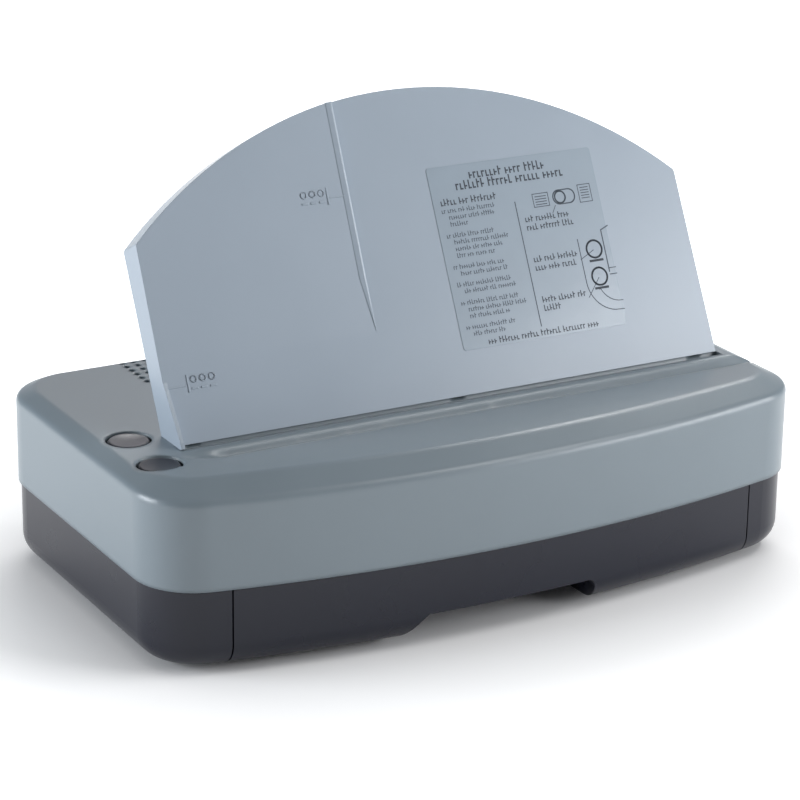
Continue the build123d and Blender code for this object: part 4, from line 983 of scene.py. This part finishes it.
class PUNCH_OT_studio(Operator):
    """Floor, lamps, white surroundings and the camera"""
    bl_idname = "punch.studio"
    bl_label = "Studio"

    def execute(self, context):
        scene = context.scene
        studio = scene.punch_studio
        ground = [(-FLOOR_HALF, -FLOOR_HALF, 0), (FLOOR_HALF, -FLOOR_HALF, 0),
                  (FLOOR_HALF, FLOOR_HALF, 0), (-FLOOR_HALF, FLOOR_HALF, 0)]
        floor = new_object("studio_floor", np.array(ground), np.array([(0, 1, 2, 3)]))
        floor.data.materials.append(floor_material())
        # direction from the machine, distance in metres, width and height of the box, power, tint
        softbox("left softbox", (-0.90, 0.32, 0.22), 1.9, 1.1, 0.8, studio.left_light, "#f4f9ff")
        softbox("right softbox", (0.76, -0.59, 0.275), 2.0, 1.3, 0.85, studio.right_light, "#fbfcff")
        softbox("boom softbox", (0.47, -0.33, 0.82), 1.5, 0.8, 0.16, studio.boom_light, "#ffffff")
        softbox("rim softbox", (0.47, 0.61, 0.64), 1.6, 1.2, 0.14, studio.rim_light, "#ffffff")
        softbox("back softbox", (0.47, 0.82, 0.28), 2.6, 2.6, 0.7, studio.back_light, "#fdf9ff")
        world = bpy.data.worlds.new("studio room")
        world.use_nodes = True
        tree = world.node_tree
        tree.nodes.clear()
        rays = add_node(tree, "LightPath")
        room = add_node(tree, "Background", {"Color": (0.97, 0.985, 1.0, 1), "Strength": studio.room_light})
        white = add_node(tree, "Background", {"Color": (1, 1, 1, 1), "Strength": 1.0})
        seen = add_node(
            tree, "MixShader", {0: rays.outputs["Is Camera Ray"], 1: room.outputs[0], 2: white.outputs[0]},
        )
        output = add_node(tree, "OutputWorld")
        tree.links.new(seen.outputs[0], output.inputs["Surface"])
        scene.world = world
        lens = bpy.data.cameras.new("photo camera")
        lens.sensor_width = 36.0
        lens.lens = studio.lens
        lens.clip_start = 0.05
        camera = bpy.data.objects.new("photo camera", lens)
        scene.collection.objects.link(camera)
        azimuth, elevation = studio.azimuth, studio.elevation
        level = math.cos(elevation)
        forward = Vector((-math.sin(azimuth) * level, math.cos(azimuth) * level, -math.sin(elevation)))
        place = Vector(studio.camera_place)
        camera.matrix_world = (
            Matrix.Translation(place) @ aim(place, place + forward) @ Matrix.Rotation(studio.roll, 4, "Z")
        )
        scene.camera = camera
        scene.view_settings.view_transform = "Standard"
        return {"FINISHED"}


STEPS = (
    PUNCH_OT_materials, PUNCH_OT_buttons, PUNCH_OT_springs, PUNCH_OT_label,
    PUNCH_OT_guide_marks, PUNCH_OT_lead_screw, PUNCH_OT_motor, PUNCH_OT_selector_grip,
    PUNCH_OT_inlet_pin, PUNCH_OT_studio,
)


class PUNCH_PT_panel(Panel):
    """Sidebar panel with the sizes, the colours and one button for each group of pieces"""
    bl_idname = "PUNCH_PT_panel"
    bl_label = "Hole punch"
    bl_space_type = "VIEW_3D"
    bl_region_type = "UI"
    bl_category = "Hole punch"

    def draw(self, context):
        scene = context.scene
        for group in (scene.punch_sizes, scene.punch_colours, scene.punch_studio):
            box = self.layout.box()
            for name in group.__annotations__:
                box.prop(group, name)
        for step in STEPS:
            self.layout.operator(step.bl_idname)


CLASSES = (PunchSizes, PunchColours, StudioSettings, *STEPS, PUNCH_PT_panel)


def register():
    for item in CLASSES:
        bpy.utils.register_class(item)
    bpy.types.Scene.punch_sizes = PointerProperty(type=PunchSizes)
    bpy.types.Scene.punch_colours = PointerProperty(type=PunchColours)
    bpy.types.Scene.punch_studio = PointerProperty(type=StudioSettings)


def unregister():
    del bpy.types.Scene.punch_studio
    del bpy.types.Scene.punch_colours
    del bpy.types.Scene.punch_sizes
    for item in reversed(CLASSES):
        bpy.utils.unregister_class(item)


def main():
    register()
    for step in STEPS:
        group, name = step.bl_idname.split(".")
        getattr(getattr(bpy.ops, group), name)()


if __name__ == "__main__":
    main()
